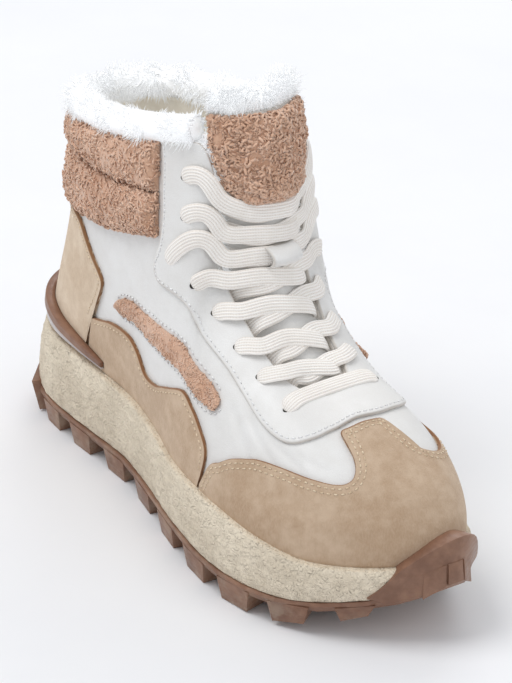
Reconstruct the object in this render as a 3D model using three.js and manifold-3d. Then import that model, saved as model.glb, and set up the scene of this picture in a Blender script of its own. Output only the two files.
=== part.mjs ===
// Winter sneaker, right shoe: a lugged rubber sole, a foam midsole, a hollow leather upper with suede
// and teddy overlays, a padded tongue, a plush collar and flat laces. Millimetres, +X to the toe,
// +Y to the medial side, +Z up, with the origin on the heel lug's flat bottom.
import * as THREE from "three";
import { mergeVertices } from "three/addons/utils/BufferGeometryUtils.js";
import Module from "manifold-3d";

const wasm = await Module();
wasm.setup();

// Driving sizes
const SOLE_LENGTH = 284;
const BALL_WIDTH = 102;
const FEATHER_UNDER_HEEL = 45;
const FEATHER_UNDER_BALL = 33;
const TOE_SPRING = 30;
const COLLAR_HEIGHT = 178;
const INSTEP_HEIGHT = 96;
const HEEL_SETBACK = 10;
const TOE_SETBACK = 10;
const HEEL_CENTRE = 42;
const WALL = 2;
const CLEARANCE = 0.3;
const FACET_TOLERANCE = 0.07;
const OVERLAY = 1.5;
const RIM_THICKNESS = 5;
const RIM_RISE = 5;
const MIDSOLE_BULGE = 1.6;
const OUTSOLE_HEIGHT = 13;
const RAND_HEIGHT = 4.4;
const RAND_LIP = 0.8;
const HEEL_BEVEL = 7;
const LUG_DEPTH = 17;
const LUG_DRAFT = 1.8;
const CENTRE_LUG_LENGTH = 18;
const CENTRE_LUG_WIDTH = 16;
const PLATE_SPRING = 0.6;
const PLATE_BEVEL = 0.4;
const CENTRE_LUG_PITCH = 21;
const HEEL_PAD_LENGTH = 24;
const HEEL_PAD_WIDTH = 22;
const BUMPER_REACH = 8;
const BUMPER_ROOT = 7;
const BUMPER_RISE = 17;
const WEDGE_LENGTH = 14;
const WEDGE_RISE = 8;
const WEDGE_REACH = 2;
const HEEL_WEDGE_LENGTH = 15;
const HEEL_WEDGE_RISE = 3;
const HEEL_WEDGE_REACH = 4.5;
const INSOLE_THICKNESS = 4;
const INSOLE_DRAFT = 1.2;
const TONGUE_THICKNESS = 3.2;
const TONGUE_PAD_THICKNESS = 8;
const TONGUE_WIDTH = 45;
const PAD_EDGE = 2.2;
const PAD_CROWN = 3.6;
const PAD_END = 0.06;
const PAD_TOP = 0.995;
const GROOVE = 0.008;
const INLAY_THICKNESS = 2.4;
const INLAY_RIM = 0.6;
const INLAY_END = 0.004;
const CLIP_THICKNESS = 4.4;
const CLIP_FACE_THICKNESS = 3;
const CLIP_END = 0.5;
const CLIP_TIP = 0.2;
const COLLAR_FUR_RADIUS = 5.4;
const COLLAR_FUR_INSET = -2;
const FUR_GAP = 1.4;
const TONGUE_FUR_RADIUS = 4.5;
const LOCK_LENGTH = 6;
const LOCK_WIDTH = 8;
const EYELET_RADIUS = 1.5;
const LACE_WIDTH = 6.2;
const LACE_THICKNESS = 1.7;
const LACE_LIFT = 2.7;
const LACE_ARCH = 2.2;
const LACE_OVERLAP = 0.7;
const STRAIGHT_DROP = 1.3;
const LACE_EDGE_GAP = 4.6;
const LACE_REACH = 0.4;
const LACE_EDGE_LIFT = 1.3;
const KEEPER_WIDTH = 13;
const KEEPER_THICKNESS = 1.4;
const KEEPER_RISE = 11.5;

// Plan of the upper's bottom edge. at: share of its length from the heel; swing, lateral and medial:
// centre line and half widths, as shares of BALL_WIDTH.
const FEATHER = [
  { at: 0, swing: 0, lateral: 0, medial: 0 },
  { at: 0.012, swing: 0, lateral: 0.118, medial: 0.118 },
  { at: 0.05, swing: 0, lateral: 0.23, medial: 0.23 },
  { at: 0.1, swing: 0, lateral: 0.284, medial: 0.284 },
  { at: 0.17, swing: 0, lateral: 0.304, medial: 0.304 },
  { at: 0.26, swing: 0, lateral: 0.314, medial: 0.299 },
  { at: 0.36, swing: 0, lateral: 0.328, medial: 0.27 },
  { at: 0.46, swing: 0, lateral: 0.382, medial: 0.279 },
  { at: 0.56, swing: 0, lateral: 0.451, medial: 0.333 },
  { at: 0.66, swing: 0, lateral: 0.49, medial: 0.387 },
  { at: 0.73, swing: 0.002, lateral: 0.495, medial: 0.402 },
  { at: 0.79, swing: 0.008, lateral: 0.48, medial: 0.392 },
  { at: 0.86, swing: 0.016, lateral: 0.428, medial: 0.328 },
  { at: 0.92, swing: 0.03, lateral: 0.334, medial: 0.262 },
  { at: 0.965, swing: 0.041, lateral: 0.22, medial: 0.181 },
  { at: 0.99, swing: 0.048, lateral: 0.118, medial: 0.1 },
  { at: 1, swing: 0.05, lateral: 0, medial: 0 },
];

// Plan of the sole at the rubber's top line, in the same shares.
const SOLE_PLAN = [
  { at: 0, swing: 0, lateral: 0, medial: 0 },
  { at: 0.012, swing: 0, lateral: 0.137, medial: 0.137 },
  { at: 0.05, swing: 0, lateral: 0.27, medial: 0.27 },
  { at: 0.1, swing: 0, lateral: 0.328, medial: 0.328 },
  { at: 0.16, swing: 0, lateral: 0.348, medial: 0.348 },
  { at: 0.25, swing: 0, lateral: 0.353, medial: 0.338 },
  { at: 0.35, swing: 0, lateral: 0.358, medial: 0.304 },
  { at: 0.45, swing: 0, lateral: 0.417, medial: 0.314 },
  { at: 0.55, swing: 0, lateral: 0.49, medial: 0.377 },
  { at: 0.65, swing: 0, lateral: 0.544, medial: 0.436 },
  { at: 0.72, swing: 0, lateral: 0.552, medial: 0.451 },
  { at: 0.78, swing: 0.005, lateral: 0.534, medial: 0.441 },
  { at: 0.85, swing: 0.013, lateral: 0.478, medial: 0.359 },
  { at: 0.91, swing: 0.026, lateral: 0.364, medial: 0.269 },
  { at: 0.96, swing: 0.038, lateral: 0.215, medial: 0.169 },
  { at: 0.988, swing: 0.045, lateral: 0.105, medial: 0.093 },
  { at: 1, swing: 0.047, lateral: 0, medial: 0 },
];

// Heights along the sole. heel: share of the drop from heel to ball; rim: how far the foam's rim
// stands over the feather, as a share of RIM_RISE; spring: share of TOE_SPRING under the toe;
// bevel: share of HEEL_BEVEL under the heel's back.
const SOLE_LINE = [
  { at: 0, heel: 1, rim: 0.7, spring: 0, bevel: 1 },
  { at: 0.04, heel: 1.02, rim: 0.7, spring: 0, bevel: 0.5 },
  { at: 0.1, heel: 1.03, rim: 0.5, spring: 0, bevel: 0 },
  { at: 0.3, heel: 0.97, rim: 0.3, spring: 0, bevel: 0 },
  { at: 0.45, heel: 0.6, rim: 0.9, spring: 0, bevel: 0 },
  { at: 0.55, heel: 0.22, rim: 1.2, spring: 0, bevel: 0 },
  { at: 0.7, heel: 0, rim: 1.4, spring: 0, bevel: 0 },
  { at: 0.8, heel: -0.05, rim: 0.8, spring: 0.04, bevel: 0 },
  { at: 0.88, heel: -0.1, rim: 0.3, spring: 0.2, bevel: 0 },
  { at: 0.94, heel: 0, rim: 0.2, spring: 0.44, bevel: 0 },
  { at: 1, heel: 0.2, rim: 0.2, spring: 1, bevel: 0 },
];

// Edge of the opening: round the collar, down the throat and round its front. x: share of
// SOLE_LENGTH; lateral and medial: y as a share of BALL_WIDTH; z: share of COLLAR_HEIGHT at the
// collar (ankle 1) and of INSTEP_HEIGHT at the throat's front (ankle 0).
const TOP_EDGE = [
  { at: 0, x: 0.102, lateral: 0, medial: 0, collar: 0.882, instep: 0 },
  { at: 0.03, x: 0.113, lateral: -0.127, medial: 0.127, collar: 0.885, instep: 0 },
  { at: 0.08, x: 0.144, lateral: -0.23, medial: 0.23, collar: 0.89, instep: 0 },
  { at: 0.16, x: 0.208, lateral: -0.294, medial: 0.284, collar: 0.904, instep: 0 },
  { at: 0.27, x: 0.296, lateral: -0.319, medial: 0.304, collar: 0.93, instep: 0 },
  { at: 0.38, x: 0.38, lateral: -0.314, medial: 0.299, collar: 0.961, instep: 0 },
  { at: 0.47, x: 0.447, lateral: -0.284, medial: 0.275, collar: 0.989, instep: 0 },
  { at: 0.53, x: 0.493, lateral: -0.24, medial: 0.24, collar: 1, instep: 0 },
  { at: 0.57, x: 0.511, lateral: -0.216, medial: 0.221, collar: 0.927, instep: 0 },
  { at: 0.61, x: 0.516, lateral: -0.206, medial: 0.211, collar: 0.75, instep: 0.13 },
  { at: 0.65, x: 0.523, lateral: -0.201, medial: 0.206, collar: 0.5, instep: 0.406 },
  { at: 0.69, x: 0.546, lateral: -0.196, medial: 0.186, collar: 0.25, instep: 0.745 },
  { at: 0.74, x: 0.585, lateral: -0.191, medial: 0.167, collar: 0.1, instep: 0.919 },
  { at: 0.8, x: 0.634, lateral: -0.186, medial: 0.137, collar: 0, instep: 1 },
  { at: 0.87, x: 0.68, lateral: -0.176, medial: 0.118, collar: 0, instep: 0.927 },
  { at: 0.93, x: 0.708, lateral: -0.137, medial: 0.083, collar: 0, instep: 0.891 },
  { at: 0.975, x: 0.722, lateral: -0.078, medial: 0.029, collar: 0, instep: 0.875 },
  { at: 1, x: 0.725, lateral: -0.029, medial: -0.029, collar: 0, instep: 0.87 },
];

// How the wall leaves the feather and reaches the top edge. belly and rise: the first control point,
// outwards and up; arrive and drop: the second one, outwards and down from the top edge. Shares of
// BALL_WIDTH.
const WALL_SHAPE = [
  { at: 0, belly: 0, rise: 0.294, arrive: -0.049, drop: 0.559 },
  { at: 0.08, belly: 0.01, rise: 0.304, arrive: -0.029, drop: 0.529 },
  { at: 0.16, belly: 0.02, rise: 0.314, arrive: -0.01, drop: 0.49 },
  { at: 0.27, belly: 0.039, rise: 0.373, arrive: 0.029, drop: 0.49 },
  { at: 0.38, belly: 0.049, rise: 0.412, arrive: 0.059, drop: 0.49 },
  { at: 0.47, belly: 0.039, rise: 0.314, arrive: 0.098, drop: 0.539 },
  { at: 0.53, belly: 0.039, rise: 0.265, arrive: 0.127, drop: 0.588 },
  { at: 0.57, belly: 0.039, rise: 0.255, arrive: 0.137, drop: 0.49 },
  { at: 0.61, belly: 0.039, rise: 0.255, arrive: 0.147, drop: 0.373 },
  { at: 0.65, belly: 0.039, rise: 0.255, arrive: 0.147, drop: 0.255 },
  { at: 0.69, belly: 0.039, rise: 0.255, arrive: 0.147, drop: 0.196 },
  { at: 0.74, belly: 0.039, rise: 0.255, arrive: 0.147, drop: 0.147 },
  { at: 0.8, belly: 0.049, rise: 0.235, arrive: 0.157, drop: 0.108 },
  { at: 0.87, belly: 0.049, rise: 0.235, arrive: 0.216, drop: 0.078 },
  { at: 0.93, belly: 0.059, rise: 0.235, arrive: 0.294, drop: 0.059 },
  { at: 1, belly: 0.059, rise: 0.24, arrive: 0.373, drop: 0.059 },
];

// Outlines on the wall. around: share of the way round from the heel by the lateral side; up: share
// of the way from feather to top edge; foot: where the row starts on the lower edge.
const TOE_CAP_EDGE = [
  { foot: 0.298, around: 0.298, up: 0.1 },
  { foot: 0.303, around: 0.312, up: 0.25 },
  { foot: 0.309, around: 0.322, up: 0.3 },
  { foot: 0.32, around: 0.336, up: 0.37 },
  { foot: 0.338, around: 0.358, up: 0.455 },
  { foot: 0.36, around: 0.382, up: 0.495 },
  { foot: 0.382, around: 0.406, up: 0.495 },
  { foot: 0.4, around: 0.424, up: 0.485 },
  { foot: 0.412, around: 0.437, up: 0.495 },
  { foot: 0.424, around: 0.448, up: 0.535 },
  { foot: 0.436, around: 0.457, up: 0.61 },
  { foot: 0.446, around: 0.461, up: 0.7 },
  { foot: 0.456, around: 0.462, up: 0.775 },
  { foot: 0.478, around: 0.478, up: 0.8 },
  { foot: 0.5, around: 0.5, up: 0.815 },
  { foot: 0.522, around: 0.52, up: 0.8 },
  { foot: 0.54, around: 0.525, up: 0.775 },
  { foot: 0.55, around: 0.524, up: 0.7 },
  { foot: 0.56, around: 0.527, up: 0.61 },
  { foot: 0.572, around: 0.54, up: 0.545 },
  { foot: 0.586, around: 0.556, up: 0.505 },
  { foot: 0.6, around: 0.576, up: 0.485 },
  { foot: 0.618, around: 0.594, up: 0.495 },
  { foot: 0.64, around: 0.618, up: 0.495 },
  { foot: 0.662, around: 0.642, up: 0.455 },
  { foot: 0.68, around: 0.664, up: 0.37 },
  { foot: 0.691, around: 0.678, up: 0.3 },
  { foot: 0.697, around: 0.688, up: 0.25 },
  { foot: 0.702, around: 0.702, up: 0.1 },
];
const SIDE_PANEL_EDGE = [
  { foot: 0.15, around: 0.157, up: 0.24 },
  { foot: 0.166, around: 0.17, up: 0.255 },
  { foot: 0.182, around: 0.182, up: 0.272 },
  { foot: 0.202, around: 0.204, up: 0.272 },
  { foot: 0.216, around: 0.216, up: 0.25 },
  { foot: 0.226, around: 0.226, up: 0.21 },
  { foot: 0.238, around: 0.24, up: 0.245 },
  { foot: 0.25, around: 0.254, up: 0.31 },
  { foot: 0.26, around: 0.268, up: 0.365 },
  { foot: 0.27, around: 0.282, up: 0.405 },
  { foot: 0.278, around: 0.292, up: 0.4 },
  { foot: 0.284, around: 0.301, up: 0.375 },
  { foot: 0.288, around: 0.3085, up: 0.3 },
  { foot: 0.29, around: 0.302, up: 0.17 },
  { foot: 0.2955, around: 0.2958, up: 0.1 },
];
const COUNTER_EDGE = [
  { foot: 0.148, around: 0.149, up: 0.12 },
  { foot: 0.146, around: 0.155, up: 0.235 },
  { foot: 0.144, around: 0.164, up: 0.33 },
  { foot: 0.141, around: 0.171, up: 0.42 },
  { foot: 0.136, around: 0.167, up: 0.465 },
  { foot: 0.128, around: 0.154, up: 0.525 },
  { foot: 0.118, around: 0.14, up: 0.59 },
  { foot: 0.104, around: 0.124, up: 0.645 },
  { foot: 0.08, around: 0.094, up: 0.675 },
  { foot: 0.045, around: 0.05, up: 0.68 },
  { foot: 0, around: 0, up: 0.68 },
];
const EYESTAY_EDGE = [
  { inner: 0.2595, around: 0.229, up: 1 },
  { inner: 0.264, around: 0.2335, up: 0.94 },
  { inner: 0.269, around: 0.2365, up: 0.87 },
  { inner: 0.275, around: 0.24, up: 0.785 },
  { inner: 0.282, around: 0.24, up: 0.71 },
  { inner: 0.289, around: 0.236, up: 0.65 },
  { inner: 0.297, around: 0.24, up: 0.605 },
  { inner: 0.307, around: 0.256, up: 0.61 },
  { inner: 0.32, around: 0.278, up: 0.64 },
  { inner: 0.336, around: 0.308, up: 0.7 },
  { inner: 0.352, around: 0.326, up: 0.71 },
  { inner: 0.368, around: 0.341, up: 0.69 },
  { inner: 0.386, around: 0.357, up: 0.66 },
  { inner: 0.404, around: 0.373, up: 0.64 },
  { inner: 0.422, around: 0.387, up: 0.635 },
  { inner: 0.44, around: 0.403, up: 0.665 },
  { inner: 0.46, around: 0.425, up: 0.725 },
  { inner: 0.48, around: 0.455, up: 0.79 },
  { inner: 0.5, around: 0.5, up: 0.84 },
];
const PAD_LINES = [
  { around: 0, foot: 0, low: 0.695, groove: 0.93 },
  { around: 0.05, foot: 0.05, low: 0.695, groove: 0.925 },
  { around: 0.1, foot: 0.1, low: 0.69, groove: 0.915 },
  { around: 0.13, foot: 0.13, low: 0.68, groove: 0.885 },
  { around: 0.168, foot: 0.168, low: 0.68, groove: 0.865 },
  { around: 0.202, foot: 0.205, low: 0.69, groove: 0.855 },
  { around: 0.2265, foot: 0.2365, low: 0.73, groove: 0.852 },
];
const INLAY_LINE = [
  { around: 0.19, middle: 0.365, half: 0.006 },
  { around: 0.194, middle: 0.37, half: 0.026 },
  { around: 0.202, middle: 0.378, half: 0.037 },
  { around: 0.23, middle: 0.412, half: 0.038 },
  { around: 0.262, middle: 0.462, half: 0.04 },
  { around: 0.29, middle: 0.5, half: 0.046 },
  { around: 0.31, middle: 0.525, half: 0.052 },
  { around: 0.318, middle: 0.535, half: 0.038 },
  { around: 0.322, middle: 0.54, half: 0.008 },
];
const CLIP_LINE = [
  { around: 0, low: 0.06, middle: 0.15, seam: 0.153, high: 0.215 },
  { around: 0.05, low: 0.06, middle: 0.145, seam: 0.148, high: 0.21 },
  { around: 0.09, low: 0.058, middle: 0.12, seam: 0.123, high: 0.18 },
  { around: 0.12, low: 0.054, middle: 0.09, seam: 0.093, high: 0.14 },
  { around: 0.15, low: 0.046, middle: 0.062, seam: 0.065, high: 0.1 },
  { around: 0.172, low: 0.038, middle: 0.045, seam: 0.048, high: 0.068 },
];
const BUMPER_LINE = [
  { around: 0.43, top: 0.04 },
  { around: 0.441, top: 0.28 },
  { around: 0.452, top: 0.6 },
  { around: 0.466, top: 0.78 },
  { around: 0.482, top: 0.92 },
  { around: 0.5, top: 1 },
  { around: 0.518, top: 1 },
  { around: 0.534, top: 0.9 },
  { around: 0.548, top: 0.62 },
  { around: 0.559, top: 0.28 },
  { around: 0.57, top: 0.04 },
];

// Lace holes on the lateral side, from the collar down; the medial ones mirror them. dive: where the
// lace passes over the throat's edge by its own hole; land: where it goes under the far edge; over and
// tilt: the tongue's share under the lace's middle, and how much that changes towards each side.
const EYELETS = [
  { around: 0.252, up: 0.91, dive: 0.279, land: 0.284, over: 0.722, tilt: 0.006 },
  { around: 0.257, up: 0.815, dive: 0.289, land: 0.2915, over: 0.652, tilt: 0.008 },
  { around: 0.25, up: 0.69, dive: 0.298, land: 0.3015, over: 0.582, tilt: 0.008 },
  { around: 0.275, up: 0.705, dive: 0.308, land: 0.317, over: 0.5, tilt: 0.018 },
  { around: 0.308, up: 0.83, dive: 0.326, land: 0.337, over: 0.395, tilt: 0.02 },
  { around: 0.332, up: 0.84, dive: 0.35, land: 0.362, over: 0.275, tilt: 0.02 },
  { around: 0.357, up: 0.85, dive: 0.38, land: 0.391, over: 0.17, tilt: 0.018 },
  { around: 0.394, up: 0.82, dive: 0.42, land: 0.42, over: 0.12, tilt: 0 },
];
const KEEPER_FROM = 0.54;
const KEEPER_TO = 0.615;
const KEEPER_SHOULDER = 3;

// Shares of the way from a lace hole to the throat's edge at which the lace has its next point
const LACE_TURN = 0.4;
const STRAIGHT_TURN = 0.6;

// Centre line of the tongue, from its root to its top. x: share of SOLE_LENGTH; y: share of
// BALL_WIDTH; z: share of COLLAR_HEIGHT; width and sag: shares of TONGUE_WIDTH.
const TONGUE_LINE = [
  { x: 0.732, y: 0, z: 0.434, width: 0.62, sag: 0.05 },
  { x: 0.7, y: 0, z: 0.459, width: 0.65, sag: 0.07 },
  { x: 0.669, y: 0, z: 0.492, width: 0.7, sag: 0.1 },
  { x: 0.634, y: 0, z: 0.54, width: 0.74, sag: 0.14 },
  { x: 0.602, y: 0, z: 0.592, width: 0.78, sag: 0.18 },
  { x: 0.581, y: 0, z: 0.646, width: 0.81, sag: 0.29 },
  { x: 0.567, y: 0, z: 0.708, width: 0.84, sag: 0.35 },
  { x: 0.56, y: 0, z: 0.775, width: 0.88, sag: 0.4 },
  { x: 0.553, y: 0, z: 0.848, width: 0.9, sag: 0.39 },
  { x: 0.544, y: 0, z: 0.932, width: 0.91, sag: 0.37 },
  { x: 0.537, y: 0, z: 1.016, width: 0.93, sag: 0.33 },
  { x: 0.532, y: 0, z: 1.084, width: 0.95, sag: 0.28 },
];
const TONGUE_PAD_LINE = [
  { along: 0.755, half: 0.28 },
  { along: 0.762, half: 0.52 },
  { along: 0.785, half: 0.7 },
  { along: 0.82, half: 0.82 },
  { along: 0.88, half: 0.92 },
  { along: 0.94, half: 0.97 },
  { along: 0.995, half: 0.96 },
];

// Blocks of the tread. from and to: shares of SOLE_LENGTH.
const SIDE_LUGS = [
  { from: 0.03, to: 0.075 },
  { from: 0.1, to: 0.155 },
  { from: 0.19, to: 0.25 },
  { from: 0.292, to: 0.354 },
  { from: 0.397, to: 0.459 },
  { from: 0.502, to: 0.566 },
  { from: 0.608, to: 0.675 },
  { from: 0.712, to: 0.78 },
  { from: 0.815, to: 0.875 },
  { from: 0.905, to: 0.945 },
];
const CENTRE_LUGS = [0.22, 0.335, 0.44, 0.545, 0.645, 0.745, 0.84];
const TOE_WEDGES = [0.472, 0.5, 0.528];
const HEEL_WEDGES = [-0.062, 0, 0.062];

// Places round one side from heel to toe, closer together where the throat meets the collar
const HALF_RING = [
  0, 0.024, 0.047, 0.07, 0.094, 0.12, 0.146, 0.172, 0.199, 0.225, 0.246, 0.261, 0.274, 0.286, 0.295, 0.305,
  0.32, 0.34, 0.364, 0.39, 0.416, 0.44, 0.461, 0.481, 0.5,
];
const RING_PLACES = [...HALF_RING, ...HALF_RING.slice(1, -1).reverse().map((place) => 1 - place)];
const COLLAR_START = 0.252;
const PANEL_FOOT = 0.015;
const TONGUE_ROWS = 14;
const TONGUE_COLUMNS = 6;
const PLUSH_SIDES = 7;
const LACE_STEPS = 9;

// Section of the midsole from the rubber up to its rim. plan: share of the way from the sole's plan to
// the feather; level: share of its height; bulge: share of MIDSOLE_BULGE.
const MIDSOLE_SECTION = [
  { plan: 0, level: 0, bulge: 0 },
  { plan: 0.3, level: 0.33, bulge: 1 },
  { plan: 0.65, level: 0.68, bulge: 1 },
  { plan: 0.95, level: 0.93, bulge: 0.25 },
  { plan: 1, level: 1, bulge: -0.375 },
];

// Materials, one for each finish
const material = (color, roughness) => new THREE.MeshStandardMaterial({ color, roughness, metalness: 0 });
const GUM = material(0xa2785c, 0.55);
const FOAM = material(0xcdc6af, 0.8);
const LEATHER = material(0xe3e0db, 0.5);
const SUEDE = material(0xc4a982, 0.95);
const COUNTER_SUEDE = material(0xd4c0a4, 0.95);
const TEDDY = material(0xcd9b78, 1);
const FUR = material(0xf1f4f8, 1);
const LINING = material(0xeae4d4, 1);
const LACE = material(0xe2d8ce, 0.9);
const CLIP_FACE = material(0xbcb3ae, 0.4);

const group = new THREE.Group();
const add = (name, geometry, finish) => {
  const mesh = new THREE.Mesh(geometry, finish);
  mesh.name = name;
  group.add(mesh);
};

// Station of a share of the length: ends are packed so that heel and toe close round.
const station = (at) => Math.acos(1 - 2 * Math.min(1, Math.max(0, at))) / Math.PI;

// Smooth curve through keyed values, with finite-difference slopes.
function hermite(keys, values, t) {
  const last = keys.length - 1;
  let i = 0;
  while (i < last - 1 && t > keys[i + 1]) i++;
  const slope = (j) => {
    const a = Math.max(0, j - 1);
    const b = Math.min(last, j + 1);
    return (values[b] - values[a]) / (keys[b] - keys[a]);
  };
  const h = keys[i + 1] - keys[i];
  const k = Math.min(1, Math.max(0, (t - keys[i]) / h));
  return (
    (2 * k ** 3 - 3 * k ** 2 + 1) * values[i] +
    (k ** 3 - 2 * k ** 2 + k) * h * slope(i) +
    (3 * k ** 2 - 2 * k ** 3) * values[i + 1] +
    (k ** 3 - k ** 2) * h * slope(i + 1)
  );
}

// A column of a station table. Even columns mirror at both ends, so the shape runs on smoothly round
// heel and toe; odd ones change sign there.
const reflected = new Map();
function column(table, name, s, odd = false) {
  let found = reflected.get(table);
  if (!found) reflected.set(table, (found = new Map()));
  if (!found.has(name)) {
    const sign = odd ? -1 : 1;
    const keys = table.map((row) => station(row.at));
    const values = table.map((row) => row[name]);
    const inner = values.length - 1;
    found.set(name, {
      keys: [-keys[2], -keys[1], ...keys, 2 - keys[inner - 1], 2 - keys[inner - 2]],
      values: [
        sign * values[2],
        sign * values[1],
        ...values,
        sign * values[inner - 1],
        sign * values[inner - 2],
      ],
    });
  }
  const { keys, values } = found.get(name);
  return hermite(keys, values, s);
}

// A row table read along one of its own columns
const along = (table, key, name, t) =>
  hermite(
    table.map((row) => row[key]),
    table.map((row) => row[name]),
    t,
  );
const atShare = (table, name, t) =>
  hermite(
    table.map((_, i) => i / (table.length - 1)),
    table.map((row) => row[name]),
    t,
  );

function sideOf(around) {
  const turn = around - Math.floor(around);
  return turn <= 0.5 ? { s: 2 * turn, side: -1 } : { s: 2 - 2 * turn, side: 1 };
}

// A point of a closed plan outline
function planPoint(table, start, length, around) {
  const { s, side } = sideOf(around);
  const half = BALL_WIDTH * column(table, side < 0 ? "lateral" : "medial", s, true);
  const swing = BALL_WIDTH * column(table, "swing", s);
  return new THREE.Vector2(start + (length * (1 - Math.cos(Math.PI * s))) / 2, swing + side * half);
}
const featherPlan = (around) =>
  planPoint(FEATHER, HEEL_SETBACK, SOLE_LENGTH - HEEL_SETBACK - TOE_SETBACK, around);
const solePlan = (around) => planPoint(SOLE_PLAN, 0, SOLE_LENGTH, around);

// Outward direction of a plan outline
function outward(plan, around) {
  const step = 0.0005;
  const a = plan(around - step);
  const b = plan(around + step);
  return new THREE.Vector2(b.y - a.y, a.x - b.x).normalize();
}
function offsetPlan(plan, around, offset) {
  return plan(around).addScaledVector(outward(plan, around), offset);
}

// Heights of the sole at a place round it
const soleLine = (name, around) => column(SOLE_LINE, name, sideOf(around).s);
const groundHeight = (around) =>
  Math.max(0, TOE_SPRING * soleLine("spring", around)) + Math.max(0, HEEL_BEVEL * soleLine("bevel", around));
const rubberTop = (around) =>
  OUTSOLE_HEIGHT + TOE_SPRING * PLATE_SPRING * Math.max(0, soleLine("spring", around)) +
  HEEL_BEVEL * PLATE_BEVEL * Math.max(0, soleLine("bevel", around));
const featherHeight = (around) =>
  FEATHER_UNDER_BALL + (FEATHER_UNDER_HEEL - FEATHER_UNDER_BALL) * soleLine("heel", around);
const rimHeight = (around) => featherHeight(around) + RIM_RISE * soleLine("rim", around);

// Top edge of the upper. The front of the throat lies off the centre line, so the sides share that.
function topEdge(around) {
  const { s, side } = sideOf(around);
  const name = side < 0 ? "lateral" : "medial";
  const front = TOP_EDGE[TOP_EDGE.length - 1][name];
  const share = (1 - Math.cos(Math.PI * s)) / 2;
  const y = along(EDGE_SIDES[name], "key", "value", s) + front * share ** 2;
  const z = COLLAR_HEIGHT * column(TOP_EDGE, "collar", s) + INSTEP_HEIGHT * column(TOP_EDGE, "instep", s);
  return new THREE.Vector3(SOLE_LENGTH * column(TOP_EDGE, "x", s), BALL_WIDTH * y, z);
}
const edgeSide = (name) =>
  TOP_EDGE.map((row) => ({
    key: station(row.at),
    value: row[name] - TOP_EDGE[TOP_EDGE.length - 1][name] * row.at ** 2,
  }));
const EDGE_SIDES = { lateral: edgeSide("lateral"), medial: edgeSide("medial") };

// The last: a point of the upper's outer face
function lastPoint(around, up) {
  const { s } = sideOf(around);
  const foot = featherPlan(around);
  const out = outward(featherPlan, around);
  const top = topEdge(around);
  const shape = (name) => BALL_WIDTH * column(WALL_SHAPE, name, s);
  const start = new THREE.Vector3(foot.x, foot.y, featherHeight(around));
  const first = new THREE.Vector3(out.x, out.y, 0).multiplyScalar(shape("belly")).add(start);
  first.z += shape("rise");
  const second = new THREE.Vector3(out.x, out.y, 0).multiplyScalar(shape("arrive")).add(top);
  second.z -= shape("drop");
  return new THREE.CubicBezierCurve3(start, first, second, top).getPoint(up);
}
function lastNormal(around, up) {
  const step = 0.001;
  const a = lastPoint(around + step, up).sub(lastPoint(around - step, up));
  const b = lastPoint(around, Math.min(1, up + step)).sub(lastPoint(around, Math.max(0, up - step)));
  return a.cross(b).normalize();
}
const wallPoint = (around, up, offset) =>
  lastPoint(around, up).addScaledVector(lastNormal(around, up), offset);

// Solids from points
function closedGeometry(points, triangles) {
  let volume = 0;
  for (const [a, b, c] of triangles) {
    volume += points[a].dot(new THREE.Vector3().crossVectors(points[b], points[c]));
  }
  const index = triangles.flatMap(([a, b, c]) => (volume < 0 ? [a, c, b] : [a, b, c]));
  const geometry = new THREE.BufferGeometry().setFromPoints(points);
  geometry.setIndex(index);
  return geometry;
}

// Two faces of a sheet, given as rows of points, closed along their borders. A looped sheet joins its
// last row to its first.
function sheetSolid(outer, inner, looped = false) {
  const rows = outer.length;
  const cells = outer[0].length;
  const points = [...outer.flat(), ...inner.flat()];
  const shift = rows * cells;
  const triangles = [];
  const quad = (a, b, c, d) => triangles.push([a, b, c], [a, c, d]);
  const id = (i, j) => (i % rows) * cells + j;
  const lastRow = looped ? rows : rows - 1;
  for (let i = 0; i < lastRow; i++) {
    for (let j = 0; j < cells - 1; j++) {
      quad(id(i, j), id(i + 1, j), id(i + 1, j + 1), id(i, j + 1));
      quad(shift + id(i, j), shift + id(i, j + 1), shift + id(i + 1, j + 1), shift + id(i + 1, j));
    }
    quad(id(i, 0), shift + id(i, 0), shift + id(i + 1, 0), id(i + 1, 0));
    quad(id(i, cells - 1), id(i + 1, cells - 1), shift + id(i + 1, cells - 1), shift + id(i, cells - 1));
  }
  if (!looped) {
    for (let j = 0; j < cells - 1; j++) {
      quad(id(0, j), id(0, j + 1), shift + id(0, j + 1), shift + id(0, j));
      const end = rows - 1;
      quad(id(end, j), shift + id(end, j), shift + id(end, j + 1), id(end, j + 1));
    }
  }
  return closedGeometry(points, triangles);
}

// Closed rings stacked into a body; both ends are closed straight across, side to side.
function ringSolid(rings) {
  const count = rings[0].length;
  const points = rings.flat();
  const triangles = [];
  for (let r = 0; r < rings.length - 1; r++) {
    for (let i = 0; i < count; i++) {
      const a = r * count + i;
      const b = r * count + ((i + 1) % count);
      triangles.push([a, b, b + count], [a, b + count, a + count]);
    }
  }
  const cap = (start, flip) => {
    for (let i = 0; i < count / 2; i++) {
      const near = [start + i, start + i + 1];
      const far = [start + ((count - i) % count), start + ((count - i - 1) % count)];
      const faces = [
        [near[0], far[1], near[1]],
        [near[0], far[0], far[1]],
      ];
      for (const face of faces) {
        if (new Set(face).size === 3) triangles.push(flip ? [...face].reverse() : face);
      }
    }
  };
  cap(0, false);
  cap((rings.length - 1) * count, true);
  return closedGeometry(points, triangles);
}

const places = (count) => Array.from({ length: count }, (_, i) => i / count);
const shares = (count) => Array.from({ length: count + 1 }, (_, i) => i / count);
const planRing = (plan, offset, height) =>
  RING_PLACES.map((around) => {
    const p = offsetPlan(plan, around, offset);
    return new THREE.Vector3(p.x, p.y, height(around));
  });

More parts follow.
